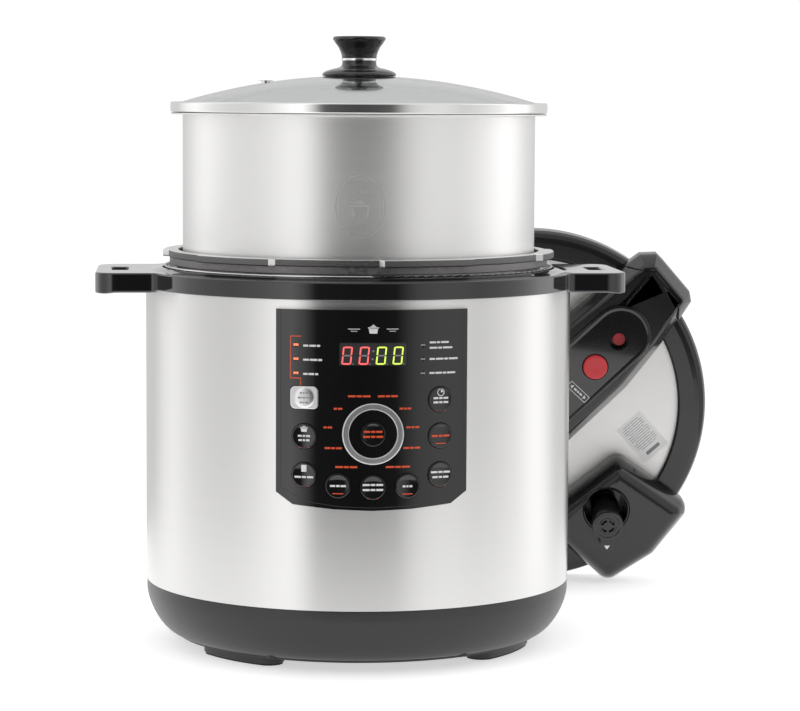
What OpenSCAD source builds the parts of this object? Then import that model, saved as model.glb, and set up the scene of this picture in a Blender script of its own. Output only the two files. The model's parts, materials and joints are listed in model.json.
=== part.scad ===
// Electric pressure cooker: base unit, raised cooking pot with glass lid, and pressure lid standing behind.
// Origin: on the cooker's axis, in the plane it stands on. The control panel faces -Y, the handles lie on X.

/* [Body] */
// Outer radius of the steel shell
body_r = 171; // [168:0.5:174]
// Height of the seam between base pan and steel shell
seam_z = 51.7; // [50:0.1:54]
// Height of the lower edge of the collar
collar_z = 287.3; // [284:0.1:289]
// Thickness of the steel shell
shell_t = 0.8; // [0.6:0.1:1]
// Height of the base pan's underside above the ground
pan_z = 7.5; // [7:0.1:8]
// Turn of the foot pattern about the cooker's axis, in degrees
foot_turn = 4.6; // [0:0.1:8]

/* [Handles] */
// Distance from the axis to the end of each handle
handle_x = 210.5; // [208:0.5:216]
// Width of each handle along Y
handle_w = 124; // [118:1:130]
// Length of the lid slot in each handle
slot_l = 39; // [30:1:44]
// Width of the lid slot in each handle
slot_w = 12; // [10:0.5:13]

/* [Bayonet flange] */
// Height of the flange's top face
flange_z = 316.6; // [315:0.1:318]
// Outer radius over the lugs
lug_r = 157.5; // [156.5:0.1:157.6]
// Outer radius between the lugs
flange_r = 152.8; // [152:0.1:153.4]
// Angle that each lug covers, in degrees
lug_angle = 27; // [24:0.5:28]

/* [Cooking pot] */
// Outer radius of the pot
pot_r = 141.5; // [140:0.1:142]
// Height of the pot
pot_h = 195; // [193:0.5:195.5]
// Thickness of the pot's wall
pot_t = 1; // [0.8:0.1:1.4]
// Height to which the pot is lifted above its seat
pot_lift = 107.5; // [100:0.5:110]

/* [Glass lid] */
// Outer radius of the glass lid's steel rim
glass_rim_r = 151.3; // [151:0.1:152]
// Rise of the glass dome from its edge to its top
dome_rise = 23.4; // [21:0.1:24]
// Radius of the knob's top
knob_r = 21.3; // [20:0.1:23]

/* [Pressure lid] */
// Outer radius of the pressure lid
lid_r = 160.5; // [160.4:0.1:161]
// Lean of the standing lid towards the cooker, in degrees
lid_lean = 5; // [3:0.5:6]
// Turn of the standing lid about the vertical, in degrees
lid_turn = -4.2; // [-5:0.1:0]
// Distance of the standing lid's centre to the right of the cooker's axis
lid_x = 173; // [171:0.5:176]
// Distance of the standing lid's centre behind the cooker's axis
lid_y = 257; // [255:0.5:262]
// Angle of the bar handle in the lid's plane, in degrees
bar_angle = 43; // [40:0.5:46]
// Tilt of the loose steam valve in its well, in degrees
valve_tilt = 13; // [8:0.5:13]

/* [Control panel] */
// Half of the angle that the panel covers, in degrees
panel_half = 25; // [24:0.1:26]
// Height of the panel's lower edge at its middle
panel_z0 = 129; // [126:0.5:131]
// Height of the panel's upper edge
panel_z1 = 280.5; // [278:0.5:282]
// Radius of the round push buttons
button_r = 9.7; // [9:0.1:10]
// Travel of the push buttons
button_travel = 1.2; // [0.8:0.1:1.2]

/* [Hidden] */
$fn = 96;
e = 0.01;                                  // how far a cutter runs past the face it cuts

// Base pan
pan_r0 = 149;                              // outer radius where the bowl's curve starts
pan_curve_z = 9.5;
pan_full_z = 44.1;                         // height where the bowl reaches its full radius
pan_t = 2.6;
pan_floor_z = pan_z + pan_t;
pan_r1 = body_r - 0.2;
function pan_r(z) = pan_r0 + (pan_r1 - pan_r0)
  * pow(1 - pow(max(pan_full_z - z, 0) / (pan_full_z - pan_curve_z), 1.56), 0.64);
foot_out_r = 142.5;
foot_in_r = 118;
foot_mid_r = (foot_out_r + foot_in_r) / 2;
foot_end_r = (foot_out_r - foot_in_r) / 2;
foot_half = 12.4;                          // half angle between the centres of a foot's round ends
foot_angles = [for (a = [-52.5, 52.5, 127.5, -127.5]) a + foot_turn - 90];
pad_t = 1.5;
board_posts = [[-98, -28], [-98, 28], [-22, -28], [-22, 28]];
board_z = 34;
spring_plate_z = 72;
spring_plate_r = 60;
post_angles = [0, 120, 240];
spring_post_r = 52;
shield_post_r = 148.5;
shield_z = 70;
inlet_y0 = 136;
inlet_y1 = 171.5;
inlet_w = 44;
inlet_z0 = 17;
inlet_z1 = 43;
screw_angles = [0, 90, 180, 270];
screw_ring_r = 104;

// Collar and handles
collar_r = 173.8;
collar_top = 301;
collar_bore_r = 157.6;
handle_top = 300.6;
handle_bottom = 284.6;
handle_wall = 3;
handle_corner = 18;
slot_x = 192;
cup_w = 46;
cup_y1 = 196;
cup_z0 = 236;
cup_z1 = 279;

// Liner, shield and heater
liner_r = 146.5;
liner_t = 1.2;
liner_z = 90;
flange_t = 5.6;
flange_in_r = 144.8;
skirt_r = 152;
shield_r = 151;
shield_t = 0.6;
shield_lip_r = 155.8;
shield_lip_z = 303.8;
plate_r = 98;
plate_z0 = 108;
plate_bore_r = 17;
element_r = 72;
element_tube_r = 4.5;
terminal_angle = 15;                       // from the element's gap to each of its terminals
terminal_z = 84;
sensor_r = 15.5;
sleeve_r = 23.6;

// Cooking pot: it rests with its lip on the flange when it is down
lip_t = 1.5;
lip_r = 151;
seat_gap = 0.4;
pot_top = flange_z + seat_gap + lip_t + pot_lift;
pot_z = pot_top - pot_h;
pot_corner = 14;
plate_z1 = pot_z - pot_lift - seat_gap;
sensor_top = plate_z1 + 0.1;

// Glass lid
rim_z0 = pot_top + 0.4;
rim_h = 8.2;
glass_t = 4;
glass_edge_r = 148.6;
glass_edge_z = rim_z0 + 2.2 + glass_t;
dome_top = glass_edge_z + dome_rise;
dome_r = (pow(glass_edge_r, 2) + pow(dome_rise, 2)) / (2 * dome_rise);
function dome_z(r) = dome_top - dome_r + sqrt(pow(dome_r, 2) - pow(r, 2));
eyelet_x = -75;
eyelet_z = dome_z(eyelet_x);
neck_r = 14.1;
skirt_r2 = 29.9;
skirt_h = 6.4;
ring_z0 = dome_top + 11.6;
ring_z1 = ring_z0 + 2.3;
knob_top = ring_z1 + 17.3;

// Pressure lid, in its own frame: +Z out of its top, +Y up as it stands
lid_gap = 0.3;                             // clearance under the standing lid
lid_edge_z = -6;                           // where the ring reaches its full radius
lid_z = lid_gap + lid_r * cos(lid_lean) + lid_edge_z * sin(lid_lean);
lid_plate_z = -4.4;
lid_plate_t = 1.6;
lid_wall_r = 159;
lid_wall_t = 1.2;
lid_wall_z = -30;
tooth_r = 153.9;
ring_in_r = 135;
bar_h = 30;
bar_side = [
  [177, -17.5], [178.5, 20], [177.7, 27], [167, 36.5], [150, 38.5], [0, 46], [-77, 44.5], [-123, 37],
  [-152, 30], [-172, 24.7]
];
cover_h = 3;
float_x = 102.5;
float_y = -4.5;
float_hole_r = 7.5;
push_x = 70.5;
push_y = -7.5;
push_r = 11;
valve_polar = [112, -52];
valve_x = valve_polar[0] * cos(valve_polar[1]);
valve_y = valve_polar[0] * sin(valve_polar[1]);
housing_corners = [[24, -102], [73, -145.5], [106, -124.5], [131, -92], [80.5, -57]];
housing_corner_r = 12;
housing_h = 34;
well_r = 19;
pipe_r = 4;
pipe_z1 = 10;

// Control panel: buttons as [angle from the middle, height]
panel_t = 3;
panel_r = body_r + panel_t;
button_fit = 0.35;
button_back = 167;
button_proud = 1.6;
board_y = -154;
display_y = -166.6;
mode_at = [-17.1, 214.2];
slow_cook_at = [-17.1, 185];
yogurt_at = [-17.1, 155.6];
hour_at = [-8.6, 148];
cook_time_at = [0, 147];
minute_at = [8.6, 147.5];
timer_at = [17.1, 212.5];
start_at = [17.1, 185];
keep_warm_at = [17.1, 155.6];
menu_at = [0, 187.2];
menu_r = 9.5;
ring_r = 23.3;
ring_hole_r = 18.1;
mode_size = [22, 17.4];
window_size = [51, 17.3];
window_z = 247.2;
round_buttons = [slow_cook_at, yogurt_at, hour_at, cook_time_at, minute_at, timer_at, start_at, keep_warm_at];
led_spots = [
  for (z = [253.7, 243.2, 232.6]) [-19.3, z],
  for (z = [253.7, 243.2, 232.6]) [12.5, z]
];

// A tube standing on z
module tube(r_out, r_in, h, z = 0) {
  translate([0, 0, z]) difference() {
    cylinder(r = r_out, h = h);
    translate([0, 0, -e]) cylinder(r = r_in, h = h + 2 * e);
  }
}

// Puts a piece that is drawn along +Z on the panel's radius at [angle, height], pointing outwards
module on_panel(at) {
  rotate([0, 0, at[0]]) translate([0, 0, at[1]]) rotate([90, 0, 0]) children();
}

// A square with round corners, about its centre
module rounded_plan(w, d, r) {
  union() {
    square([w - 2 * r, d], center = true);
    square([w, d - 2 * r], center = true);
    for (sx = [-1, 1], sy = [-1, 1]) translate([sx * (w / 2 - r), sy * (d / 2 - r)]) circle(r);
  }
}

// One arc-shaped foot with round ends
module foot_arc(z, h, inset) {
  translate([0, 0, z]) {
    rotate([0, 0, -foot_half]) rotate_extrude(angle = 2 * foot_half)
      translate([foot_in_r + inset, 0]) square([foot_out_r - foot_in_r - 2 * inset, h]);
    for (a = [-foot_half, foot_half]) rotate([0, 0, a]) translate([foot_mid_r, 0, 0])
      cylinder(r = foot_end_r - inset, h = h);
  }
}

module pan_bowl() {
  steps = 10;
  heights = [for (i = [0 : steps]) pan_curve_z + (pan_full_z - pan_curve_z) * pow(i / steps, 1.5)];
  outer = [for (z = heights) [pan_r(z), z]];
  inner = [for (i = [steps : -1 : 1]) [pan_r(heights[i]) - pan_t, max(heights[i], pan_floor_z + 1)]];
  rotate_extrude() polygon(concat(
    [[0, pan_z], [pan_r0 - 1.5, pan_z], [pan_r0 - 1.5, pan_curve_z]],
    outer,
    [[pan_r1, seam_z], [body_r - shell_t - 0.1, seam_z], [body_r - shell_t - 0.1, seam_z + 6],
     [body_r - shell_t - 2.3, seam_z + 6]],
    inner,
    [[pan_r(heights[1]) - pan_t - 2, pan_floor_z], [0, pan_floor_z]]
  ));
}

module base_pan() {
  color([0.17, 0.17, 0.18]) difference() {
    union() {
      pan_bowl();
      for (a = foot_angles) rotate([0, 0, a]) foot_arc(pad_t, pan_z - pad_t + e, 0);
      for (p = board_posts) translate([p[0], p[1], pan_floor_z - e])
        cylinder(r = 4, h = board_z - pan_floor_z + e);
      for (a = post_angles) rotate([0, 0, a]) translate([spring_post_r, 0, pan_floor_z - e])
        cylinder(r = 5, h = spring_plate_z - pan_floor_z + e);
      for (a = [0 : 60 : 300]) rotate([0, 0, a]) translate([shield_post_r, 0, pan_floor_z - e])
        cylinder(r = 3.5, h = shield_z - pan_floor_z + e);
    }
    translate([-inlet_w / 2, inlet_y0 - 6, inlet_z0]) cube([inlet_w, 50, inlet_z1 - inlet_z0]);
    for (a = screw_angles) rotate([0, 0, a]) translate([screw_ring_r, 0, pan_z - e])
      cylinder(r = 2.1, h = pan_t + 2 * e);
    for (a = [0 : 30 : 330], r = [40, 54, 84]) rotate([0, 0, a + 15]) translate([r, -1.6, pan_z - e])
      cube([9, 3.2, pan_t + 2 * e]);
  }
}

module foot_pads() {
  color([0.1, 0.1, 0.1]) for (a = foot_angles) rotate([0, 0, a]) foot_arc(0, pad_t, 1.2);
}

module base_screws() {
  color("silver") for (a = screw_angles) rotate([0, 0, a]) translate([screw_ring_r, 0, 0]) {
    translate([0, 0, pan_z - 1.8]) cylinder(r = 4, h = 1.8);
    translate([0, 0, pan_z - e]) cylinder(r = 2, h = 8);
  }
}

module outer_shell() {
  color([0.78, 0.78, 0.78]) difference() {
    tube(body_r, body_r - shell_t, 290 - seam_z, seam_z);
    rotate([0, 0, -90]) translate([0, 0, panel_z0 + 24]) rotate([0, 0, -22]) rotate_extrude(angle = 44)
      translate([body_r - 4, 0]) square([8, panel_z1 - panel_z0 - 32]);
    for (b = round_buttons) on_panel(b) cylinder(r = button_r + 1, h = 200);
  }
}

// Two rails and a roof under the collar's rear, which hold the cup by its side flanges
module cup_rails() {
  difference() {
    translate([-cup_w / 2 - 5, 168, cup_z1 - 6]) cube([cup_w + 10, 22, handle_bottom + 3 - cup_z1 + 6]);
    translate([-cup_w / 2 - 2.4, 160, cup_z1 - 3.4]) cube([cup_w + 4.8, 40, 3.7]);
    translate([-cup_w / 2 - 0.4, 160, cup_z1 - 20]) cube([cup_w + 0.8, 40, 20.3]);
    translate([0, 0, cup_z0]) cylinder(r = body_r + 0.3, h = 70);
  }
}

// Outline of the collar with its two handles, seen from above
module handle_plan(inset) {
  for (s = [-1, 1]) scale([s, 1]) {
    translate([(handle_x + 100) / 2, 0])
      rounded_plan(handle_x - 100 - 2 * inset, handle_w - 2 * inset, handle_corner - inset);
  }
}

module collar() {
  color([0.05, 0.05, 0.055]) difference() {
    union() {
      rotate_extrude() polygon([
        [collar_bore_r, 281], [160, 281], [160, 292], [body_r + 0.4, 292], [body_r + 0.4, collar_z],
        [collar_r, collar_z], [collar_r, collar_top - 1], [collar_r - 1, collar_top],
        [166, 300.4], [collar_bore_r, 302.8]
      ]);
      difference() {
        translate([0, 0, handle_bottom]) linear_extrude(handle_top - handle_bottom) handle_plan(0);
        translate([0, 0, handle_bottom - e]) linear_extrude(handle_top - handle_bottom - handle_wall)
          handle_plan(handle_wall);
        translate([0, 0, handle_bottom - 1]) cylinder(r = body_r + 1.2, h = 30);
      }
      cup_rails();
      for (s = [-1, 1]) translate([s * slot_x, 0, handle_bottom])
        linear_extrude(handle_top - handle_bottom - 1) rounded_plan(slot_w + 5, slot_l + 5, 4);
    }
    for (s = [-1, 1]) translate([s * slot_x, 0, handle_bottom - 1]) linear_extrude(20)
      rounded_plan(slot_w, slot_l, 2);
  }
}

module bayonet_flange() {
  color([0.6, 0.6, 0.6]) {
    tube(flange_r, flange_in_r, flange_t, flange_z - flange_t);
    tube(skirt_r, liner_r, 6, flange_z - flange_t - 6);
    for (i = [0 : 5]) rotate([0, 0, 60 * i + 17 - 90 - lug_angle / 2]) translate([0, 0, flange_z - flange_t])
      rotate_extrude(angle = lug_angle) translate([flange_r - 0.5, 0])
        square([lug_r - flange_r + 0.5, flange_t]);
  }
}

module liner_can() {
  color([0.72, 0.72, 0.72]) difference() {
    union() {
      tube(liner_r, liner_r - liner_t, flange_z - flange_t - liner_z, liner_z);
      translate([0, 0, liner_z]) cylinder(r = liner_r, h = 1.6);
    }
    translate([0, 0, liner_z - e]) cylinder(r = 21, h = 2);
    for (s = [-1, 1]) rotate([0, 0, 90 + s * terminal_angle]) translate([element_r, 0, liner_z - e])
      cylinder(r = 4.5, h = 2);
  }
}

module heat_shield() {
  color([0.85, 0.85, 0.85]) {
    tube(shield_r, shield_r - shield_t, 226, shield_z);
    tube(shield_r, 146, 0.8, shield_z);
    rotate_extrude() polygon([
      [shield_r - shield_t, 296], [shield_r, 296], [shield_lip_r + 0.3, 300],
      [shield_lip_r + 0.3, shield_lip_z], [shield_lip_r - 0.3, shield_lip_z], [shield_lip_r - 0.3, 300.3]
    ]);
    translate([0, 0, shield_lip_z]) rotate_extrude() translate([shield_lip_r, 0]) circle(0.9, $fn = 16);
  }
}

module heating_plate() {
  color([0.7, 0.7, 0.68]) difference() {
    union() {
      translate([0, 0, plate_z0]) cylinder(r = plate_r, h = plate_z1 - plate_z0 - 3 + e);
      translate([0, 0, plate_z1 - 3]) cylinder(r = plate_r - 3, h = 3);
      for (a = [30, 150, 270]) rotate([0, 0, a]) translate([86, 0, liner_z + 1.6])
        cylinder(r = 6, h = plate_z0 - liner_z - 1.6 + e);
      tube(plate_bore_r + 2.5, plate_bore_r, 12 + e, plate_z0 - 12);
    }
    translate([0, 0, plate_z0 - e]) cylinder(r = plate_bore_r, h = 20);
    translate([0, 0, plate_z0]) rotate_extrude() translate([element_r, 0])
      circle(element_tube_r + 0.2, $fn = 32);
  }
}

module heating_element() {
  color([0.4, 0.4, 0.42]) {
    translate([0, 0, plate_z0]) rotate([0, 0, 90 + terminal_angle])
      rotate_extrude(angle = 360 - 2 * terminal_angle) translate([element_r, 0])
        circle(element_tube_r, $fn = 32);
    for (s = [-1, 1]) rotate([0, 0, 90 + s * terminal_angle]) translate([element_r, 0, terminal_z])
      cylinder(r = 3.2, h = plate_z0 - terminal_z, $fn = 32);
  }
}

module liner_sleeve() {
  color([0.65, 0.65, 0.65]) difference() {
    union() {
      translate([0, 0, 60]) cylinder(r = sleeve_r, h = liner_z - 60);
      translate([0, 0, liner_z - 2]) cylinder(r = 33, h = 2);
    }
    translate([0, 0, 59]) cylinder(r = 20, h = 40);
  }
}

module sleeve_nut() {
  color([0.6, 0.6, 0.62]) translate([0, 0, 62]) difference() {
    cylinder(r = 32, h = spring_plate_z - 62, $fn = 6);
    translate([0, 0, -e]) cylinder(r = sleeve_r + 0.02, h = 20);
  }
}

module spring_plate() {
  color([0.68, 0.68, 0.7]) translate([0, 0, spring_plate_z]) difference() {
    cylinder(r = spring_plate_r, h = 1.5);
    translate([0, 0, -e]) cylinder(r = sleeve_r + 0.1, h = 2);
    for (a = [30 : 60 : 330]) rotate([0, 0, a]) translate([34, -2, -e]) cube([18, 4, 2]);
    for (a = post_angles) rotate([0, 0, a]) translate([spring_post_r, 0, -e]) cylinder(r = 2.2, h = 2);
  }
}

module pressure_switch() {
  color([0.2, 0.2, 0.22]) translate([-10, 36, 0]) {
    translate([0, 0, 54]) cube([20, 10, 14]);
    translate([10, 5, 68 - e]) cylinder(r = 2, h = spring_plate_z - 68);
    for (x = [3, 14]) translate([x, 4, 48]) cube([3, 0.8, 6 + e]);
  }
}

module thermal_fuse() {
  color([0.85, 0.82, 0.75]) translate([0, -52, liner_z - 3.4]) {
    rotate([0, 90, 0]) translate([0, 0, -9]) cylinder(r = 2.6, h = 18, $fn = 32);
    translate([-6, -4, 2.4]) cube([12, 8, 1]);
  }
}

module power_board() {
  color([0.1, 0.35, 0.2]) translate([-106, -36, board_z]) cube([92, 72, 1.6]);
  color([0.15, 0.15, 0.16]) translate([0, 0, board_z + 1.6 - e]) {
    translate([-96, -18, 0]) cube([28, 24, 18]);
    translate([-60, -24, 0]) cube([18, 14, 15]);
    translate([-36, 4, 0]) cylinder(r = 7, h = 20, $fn = 48);
    translate([-54, 12, 0]) cube([12, 16, 14]);
    translate([-92, 16, 0]) cube([24, 10, 10]);
  }
}

module control_board() {
  color([0.1, 0.35, 0.2]) translate([-56, board_y, 136]) cube([112, 1.6, 136]);
  color([0.15, 0.15, 0.16]) intersection() {
    for (b = concat(round_buttons, [mode_at, menu_at])) on_panel(b)
      cylinder(r = 3, h = button_back - button_travel - 0.1, $fn = 32);
    translate([-80, board_y - 20, 100]) cube([160, 20 + e, 180]);
  }
  color([0.9, 0.45, 0.15]) intersection() {
    for (b = led_spots) on_panel(b) cylinder(r = 1.5, h = body_r - 0.5, $fn = 24);
    translate([-80, board_y - 20, 100]) cube([160, 20 + e, 180]);
  }
}

module display_module() {
  color([0.12, 0.12, 0.13]) translate([-27, display_y, window_z - 10])
    cube([54, board_y - display_y, 20]);
}

// Outline of the panel, seen from the front
module panel_outline(grow) {
  half = body_r * sin(panel_half) + grow;
  cut = body_r * sin(panel_half - 4.5) + grow;
  polygon([
    [-half, panel_z1 + grow], [half, panel_z1 + grow], [half, 142], [cut, 133 - grow],
    [cut * 0.5, panel_z0 + 1.1 - grow], [0, panel_z0 - grow], [-cut * 0.5, panel_z0 + 1.1 - grow],
    [-cut, 133 - grow], [-half, 142]
  ]);
}

module control_panel() {
  color([0.04, 0.04, 0.045]) difference() {
    intersection() {
      tube(panel_r, body_r, 200, 100);
      rotate([90, 0, 0]) linear_extrude(200) panel_outline(0);
    }
    for (b = round_buttons) on_panel(b) cylinder(r = button_r + button_fit, h = 200);
    on_panel(menu_at) cylinder(r = menu_r + button_fit, h = 200);
    on_panel(menu_at) translate([0, 0, panel_r - 1.6]) tube(ring_r + 0.02, ring_hole_r - 0.02, 10);
    on_panel(mode_at) linear_extrude(200)
      rounded_plan(mode_size[0] + 2 * button_fit, mode_size[1] + 2 * button_fit, 4);
    on_panel([0, window_z]) translate([0, 0, 140]) linear_extrude(60)
      square([window_size[0], window_size[1]], center = true);
    for (b = led_spots) on_panel(b) cylinder(r = 1.6, h = 200, $fn = 24);
  }
}

module display_window() {
  color([0.1, 0.02, 0.02, 0.8]) intersection() {
    tube(panel_r - 0.6, body_r - 1.5, 100, 200);
    on_panel([0, window_z]) linear_extrude(200)
      square([window_size[0] - 0.1, window_size[1] - 0.1], center = true);
  }
}

module menu_ring() {
  color([0.7, 0.7, 0.72]) on_panel(menu_at) translate([0, 0, panel_r - 1.6]) tube(ring_r, ring_hole_r, 3);
}

// A round push button with a domed cap, a retaining flange and a stem
module push_button(at, r) {
  color([0.06, 0.06, 0.065]) on_panel(at) {
    translate([0, 0, button_back]) cylinder(r = r, h = panel_r + button_proud - 0.8 - button_back);
    translate([0, 0, panel_r + button_proud - 0.8 - e]) cylinder(r1 = r, r2 = r - 1.2, h = 0.8);
  }
}

module mode_button() {
  color([0.75, 0.75, 0.76]) on_panel(mode_at) {
    translate([0, 0, button_back]) linear_extrude(panel_r + 1 - button_back)
      rounded_plan(mode_size[0], mode_size[1], 4);
    translate([0, 0, panel_r + 1 - e]) cylinder(r1 = 8, r2 = 6.5, h = 1);
  }
}

module slow_cook_button() { push_button(slow_cook_at, button_r); }
module yogurt_button() { push_button(yogurt_at, button_r); }
module hour_button() { push_button(hour_at, button_r); }
module cook_time_button() { push_button(cook_time_at, button_r); }
module minute_button() { push_button(minute_at, button_r); }
module timer_button() { push_button(timer_at, button_r); }
module start_button() { push_button(start_at, button_r); }
module keep_warm_button() { push_button(keep_warm_at, button_r); }
module menu_button() { push_button(menu_at, menu_r); }

module power_inlet() {
  pins = [[0, 34], [-7, 27], [7, 27]];
  color([0.08, 0.08, 0.08]) difference() {
    translate([-inlet_w / 2 + 0.2, inlet_y0, inlet_z0 + 0.2])
      cube([inlet_w - 0.4, inlet_y1 - inlet_y0, inlet_z1 - inlet_z0 - 0.4]);
    translate([-12.2, inlet_y1 - 16, 21.8]) cube([24.4, 20, 16.4]);
  }
  color([0.85, 0.8, 0.6]) for (p = pins) translate([p[0] - 1, inlet_y1 - 16 - e, p[1] - 2]) cube([2, 13, 4]);
}

// A tube swept along a list of points, with one ring of sides at each point
function unit(v) = v / norm(v);
function ring_at(path, i, r, sides) =
  let (
    last = len(path) - 1,
    t = unit(path[min(i + 1, last)] - path[max(i - 1, 0)]),
    ref = abs(t[2]) < 0.9 ? [0, 0, 1] : [1, 0, 0],
    u = unit(cross(t, ref)),
    v = cross(t, u)
  )
  [for (k = [0 : sides - 1]) path[i] + r * (u * cos(360 * k / sides) + v * sin(360 * k / sides))];

module swept_tube(path, r, sides) {
  n = len(path);
  points = [for (i = [0 : n - 1]) each ring_at(path, i, r, sides)];
  walls = [for (i = [0 : n - 2], k = [0 : sides - 1]) let (j = (k + 1) % sides)
    [i * sides + k, i * sides + j, (i + 1) * sides + j, (i + 1) * sides + k]];
  start = [for (k = [sides - 1 : -1 : 0]) k];
  end = [for (k = [0 : sides - 1]) (n - 1) * sides + k];
  polyhedron(points, concat([start], walls, [end]), convexity = 6);
}

// A quadratic curve from a to c, pulled towards b
function curve(a, b, c, n) =
  [for (i = [0 : n]) let (t = i / n) pow(1 - t, 2) * a + 2 * t * (1 - t) * b + pow(t, 2) * c];

module wire_harness() {
  terminal = [element_r * sin(terminal_angle), element_r * cos(terminal_angle), terminal_z - 0.3];
  board_top = board_z + 3.6;
  color([0.7, 0.1, 0.1])
    swept_tube(curve([-34, 30, board_top], [-36, 74, 46], [-terminal[0], terminal[1], terminal[2]], 12),
      1.6, 8);
  color([0.9, 0.9, 0.9]) swept_tube(curve([-28, 30, board_top], [22, 74, 42], terminal, 12), 1.6, 8);
  color([0.15, 0.3, 0.7]) swept_tube(curve([-18, -20, board_top], [0, 0, 48], [0, 0, 93], 10), 1.3, 8);
  color([0.1, 0.1, 0.1]) swept_tube(curve([0, 135, 30], [-60, 90, 20], [-40, 34, board_top], 14), 2.2, 8);
  color([0.6, 0.6, 0.6])
    swept_tube(curve([-60, -32, board_top], [-44, -190, 30], [-40, -156, 134], 16), 2, 8);
}

module temperature_sensor() {
  color([0.75, 0.75, 0.75]) {
    translate([0, 0, sensor_top - 10]) cylinder(r = sensor_r, h = 9);
    translate([0, 0, sensor_top - 1 - e]) cylinder(r1 = sensor_r, r2 = sensor_r - 1, h = 1);
    translate([0, 0, 97]) cylinder(r = 5, h = sensor_top - 10 - 97 + e);
  }
}

module sensor_spring() {
  turns = 5;
  steps = 14;
  z0 = 98.4;
  z1 = sensor_top - 10 - 1;
  path = [for (i = [0 : turns * steps]) let (a = 360 * i / steps)
    [9 * cos(a), 9 * sin(a), z0 + (z1 - z0) * i / (turns * steps)]];
  color([0.8, 0.8, 0.8]) swept_tube(path, 0.8, 8);
}

module condensation_cup() {
  y0 = body_r + 1;
  color([0.8, 0.85, 0.88, 0.6]) difference() {
    union() {
      translate([-cup_w / 2, y0, cup_z0]) cube([cup_w, cup_y1 - y0, cup_z1 - cup_z0]);
      translate([-cup_w / 2 - 2, y0, cup_z1 - 3]) cube([cup_w + 4, 17, 2.9]);
    }
    translate([-cup_w / 2 + 1.8, y0 + 4, cup_z0 + 2]) cube([cup_w - 3.6, cup_y1 - y0 - 5.8, 60]);
    translate([0, 0, cup_z0 - 1]) cylinder(r = body_r + 0.8, h = 60);
  }
}

module inner_pot() {
  color([0.85, 0.85, 0.84]) rotate_extrude() {
    difference() {
      polygon([
        [0, pot_z], [pot_r - pot_corner, pot_z],
        for (a = [-75 : 15 : 0]) [pot_r - pot_corner * (1 - cos(a)), pot_z + pot_corner * (1 + sin(a))],
        [pot_r, pot_top - lip_t], [lip_r, pot_top - lip_t], [lip_r, pot_top], [pot_r, pot_top],
        [0, pot_top]
      ]);
      polygon([
        [-1, pot_z + 3], [pot_r - pot_corner, pot_z + 3],
        for (a = [-75 : 15 : 0]) [pot_r - pot_t - (pot_corner - pot_t) * (1 - cos(a)),
          pot_z + 3 + (pot_corner - pot_t) * (1 + sin(a))],
        [pot_r - pot_t, pot_top + 1], [-1, pot_top + 1]
      ]);
    }
  }
}

module glass_dome() {
  color([0.8, 0.9, 0.9, 0.35]) difference() {
    intersection() {
      translate([0, 0, dome_top - dome_r]) difference() {
        sphere(r = dome_r, $fn = 180);
        sphere(r = dome_r - glass_t, $fn = 180);
      }
      translate([0, 0, glass_edge_z - glass_t]) cylinder(r = glass_edge_r, h = 60);
    }
    translate([0, 0, dome_top - 10]) cylinder(r = 4, h = 20);
    translate([eyelet_x, 0, eyelet_z - 12]) cylinder(r = 4, h = 20);
  }
}

module glass_rim() {
  lower = glass_edge_z - glass_t;
  color([0.82, 0.82, 0.82]) rotate_extrude() polygon([
    [glass_rim_r - 0.8, rim_z0], [glass_rim_r, rim_z0 + 0.8], [glass_rim_r, rim_z0 + rim_h - 1],
    [glass_rim_r - 1, rim_z0 + rim_h], [145.5, rim_z0 + rim_h], [145.5, rim_z0 + rim_h - 0.6],
    [glass_rim_r - 1.3, rim_z0 + rim_h - 0.6], [glass_rim_r - 0.8, rim_z0 + rim_h - 1.2],
    [glass_rim_r - 0.8, lower + 0.4], [glass_rim_r - 1.2, lower], [139.5, lower], [139.5, rim_z0]
  ]);
}

module vent_eyelet() {
  color([0.8, 0.8, 0.8]) translate([eyelet_x, 0, 0]) {
    tube(3.9, 2, 7, eyelet_z - 5.9);
    tube(6.5, 2, 0.9, eyelet_z + 1);
  }
}

module knob_washer() {
  color([0.8, 0.85, 0.85, 0.7]) tube(19.6, 3, 4, dome_top - glass_t - 4.7);
}

module knob_screw() {
  color("silver") {
    translate([0, 0, dome_top - glass_t - 7.2]) cylinder(r = 6.5, h = 2.5);
    translate([0, 0, dome_top - glass_t - 4.7 - e]) cylinder(r = 2.6, h = 26);
  }
}

module knob_skirt() {
  color([0.05, 0.05, 0.05]) difference() {
    rotate_extrude() polygon([
      for (r = [0, 10, 20, skirt_r2 - 2]) [r, dome_z(r) + 0.1],
      [skirt_r2, dome_top + 0.4],
      [skirt_r2 - 2, dome_top + 3.4], [skirt_r2 - 9, dome_top + 5.6], [neck_r + 1, skirt_h + dome_top],
      [neck_r - 0.5, dome_top + 8], [neck_r - 0.5, ring_z0], [0, ring_z0]
    ]);
    translate([0, 0, dome_top - 1]) cylinder(r = 2.7, h = 40);
  }
}

module knob_ring() {
  color([0.85, 0.85, 0.85]) tube(neck_r + 0.2, 6, ring_z1 - ring_z0, ring_z0);
}

module lid_knob() {
  color([0.05, 0.05, 0.05]) difference() {
    rotate_extrude() polygon([
      [0, ring_z1], [neck_r, ring_z1], [neck_r + 0.6, ring_z1 + 4], [neck_r + 3, ring_z1 + 9.5],
      [knob_r, knob_top - 4], [knob_r, knob_top - 1.2], [knob_r - 1.2, knob_top], [knob_r - 4, knob_top],
      [knob_r - 8, knob_top - 1.2], [0, knob_top - 1.2]
    ]);
    translate([0, 0, ring_z1 - e]) cylinder(r = 2.7, h = 8);
  }
}

// Places a piece of the pressure lid where the lid stands
module lid_place() {
  translate([lid_x, lid_y, lid_z]) rotate([0, 0, lid_turn]) rotate([90 + lid_lean, 0, 0]) children();
}

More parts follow.
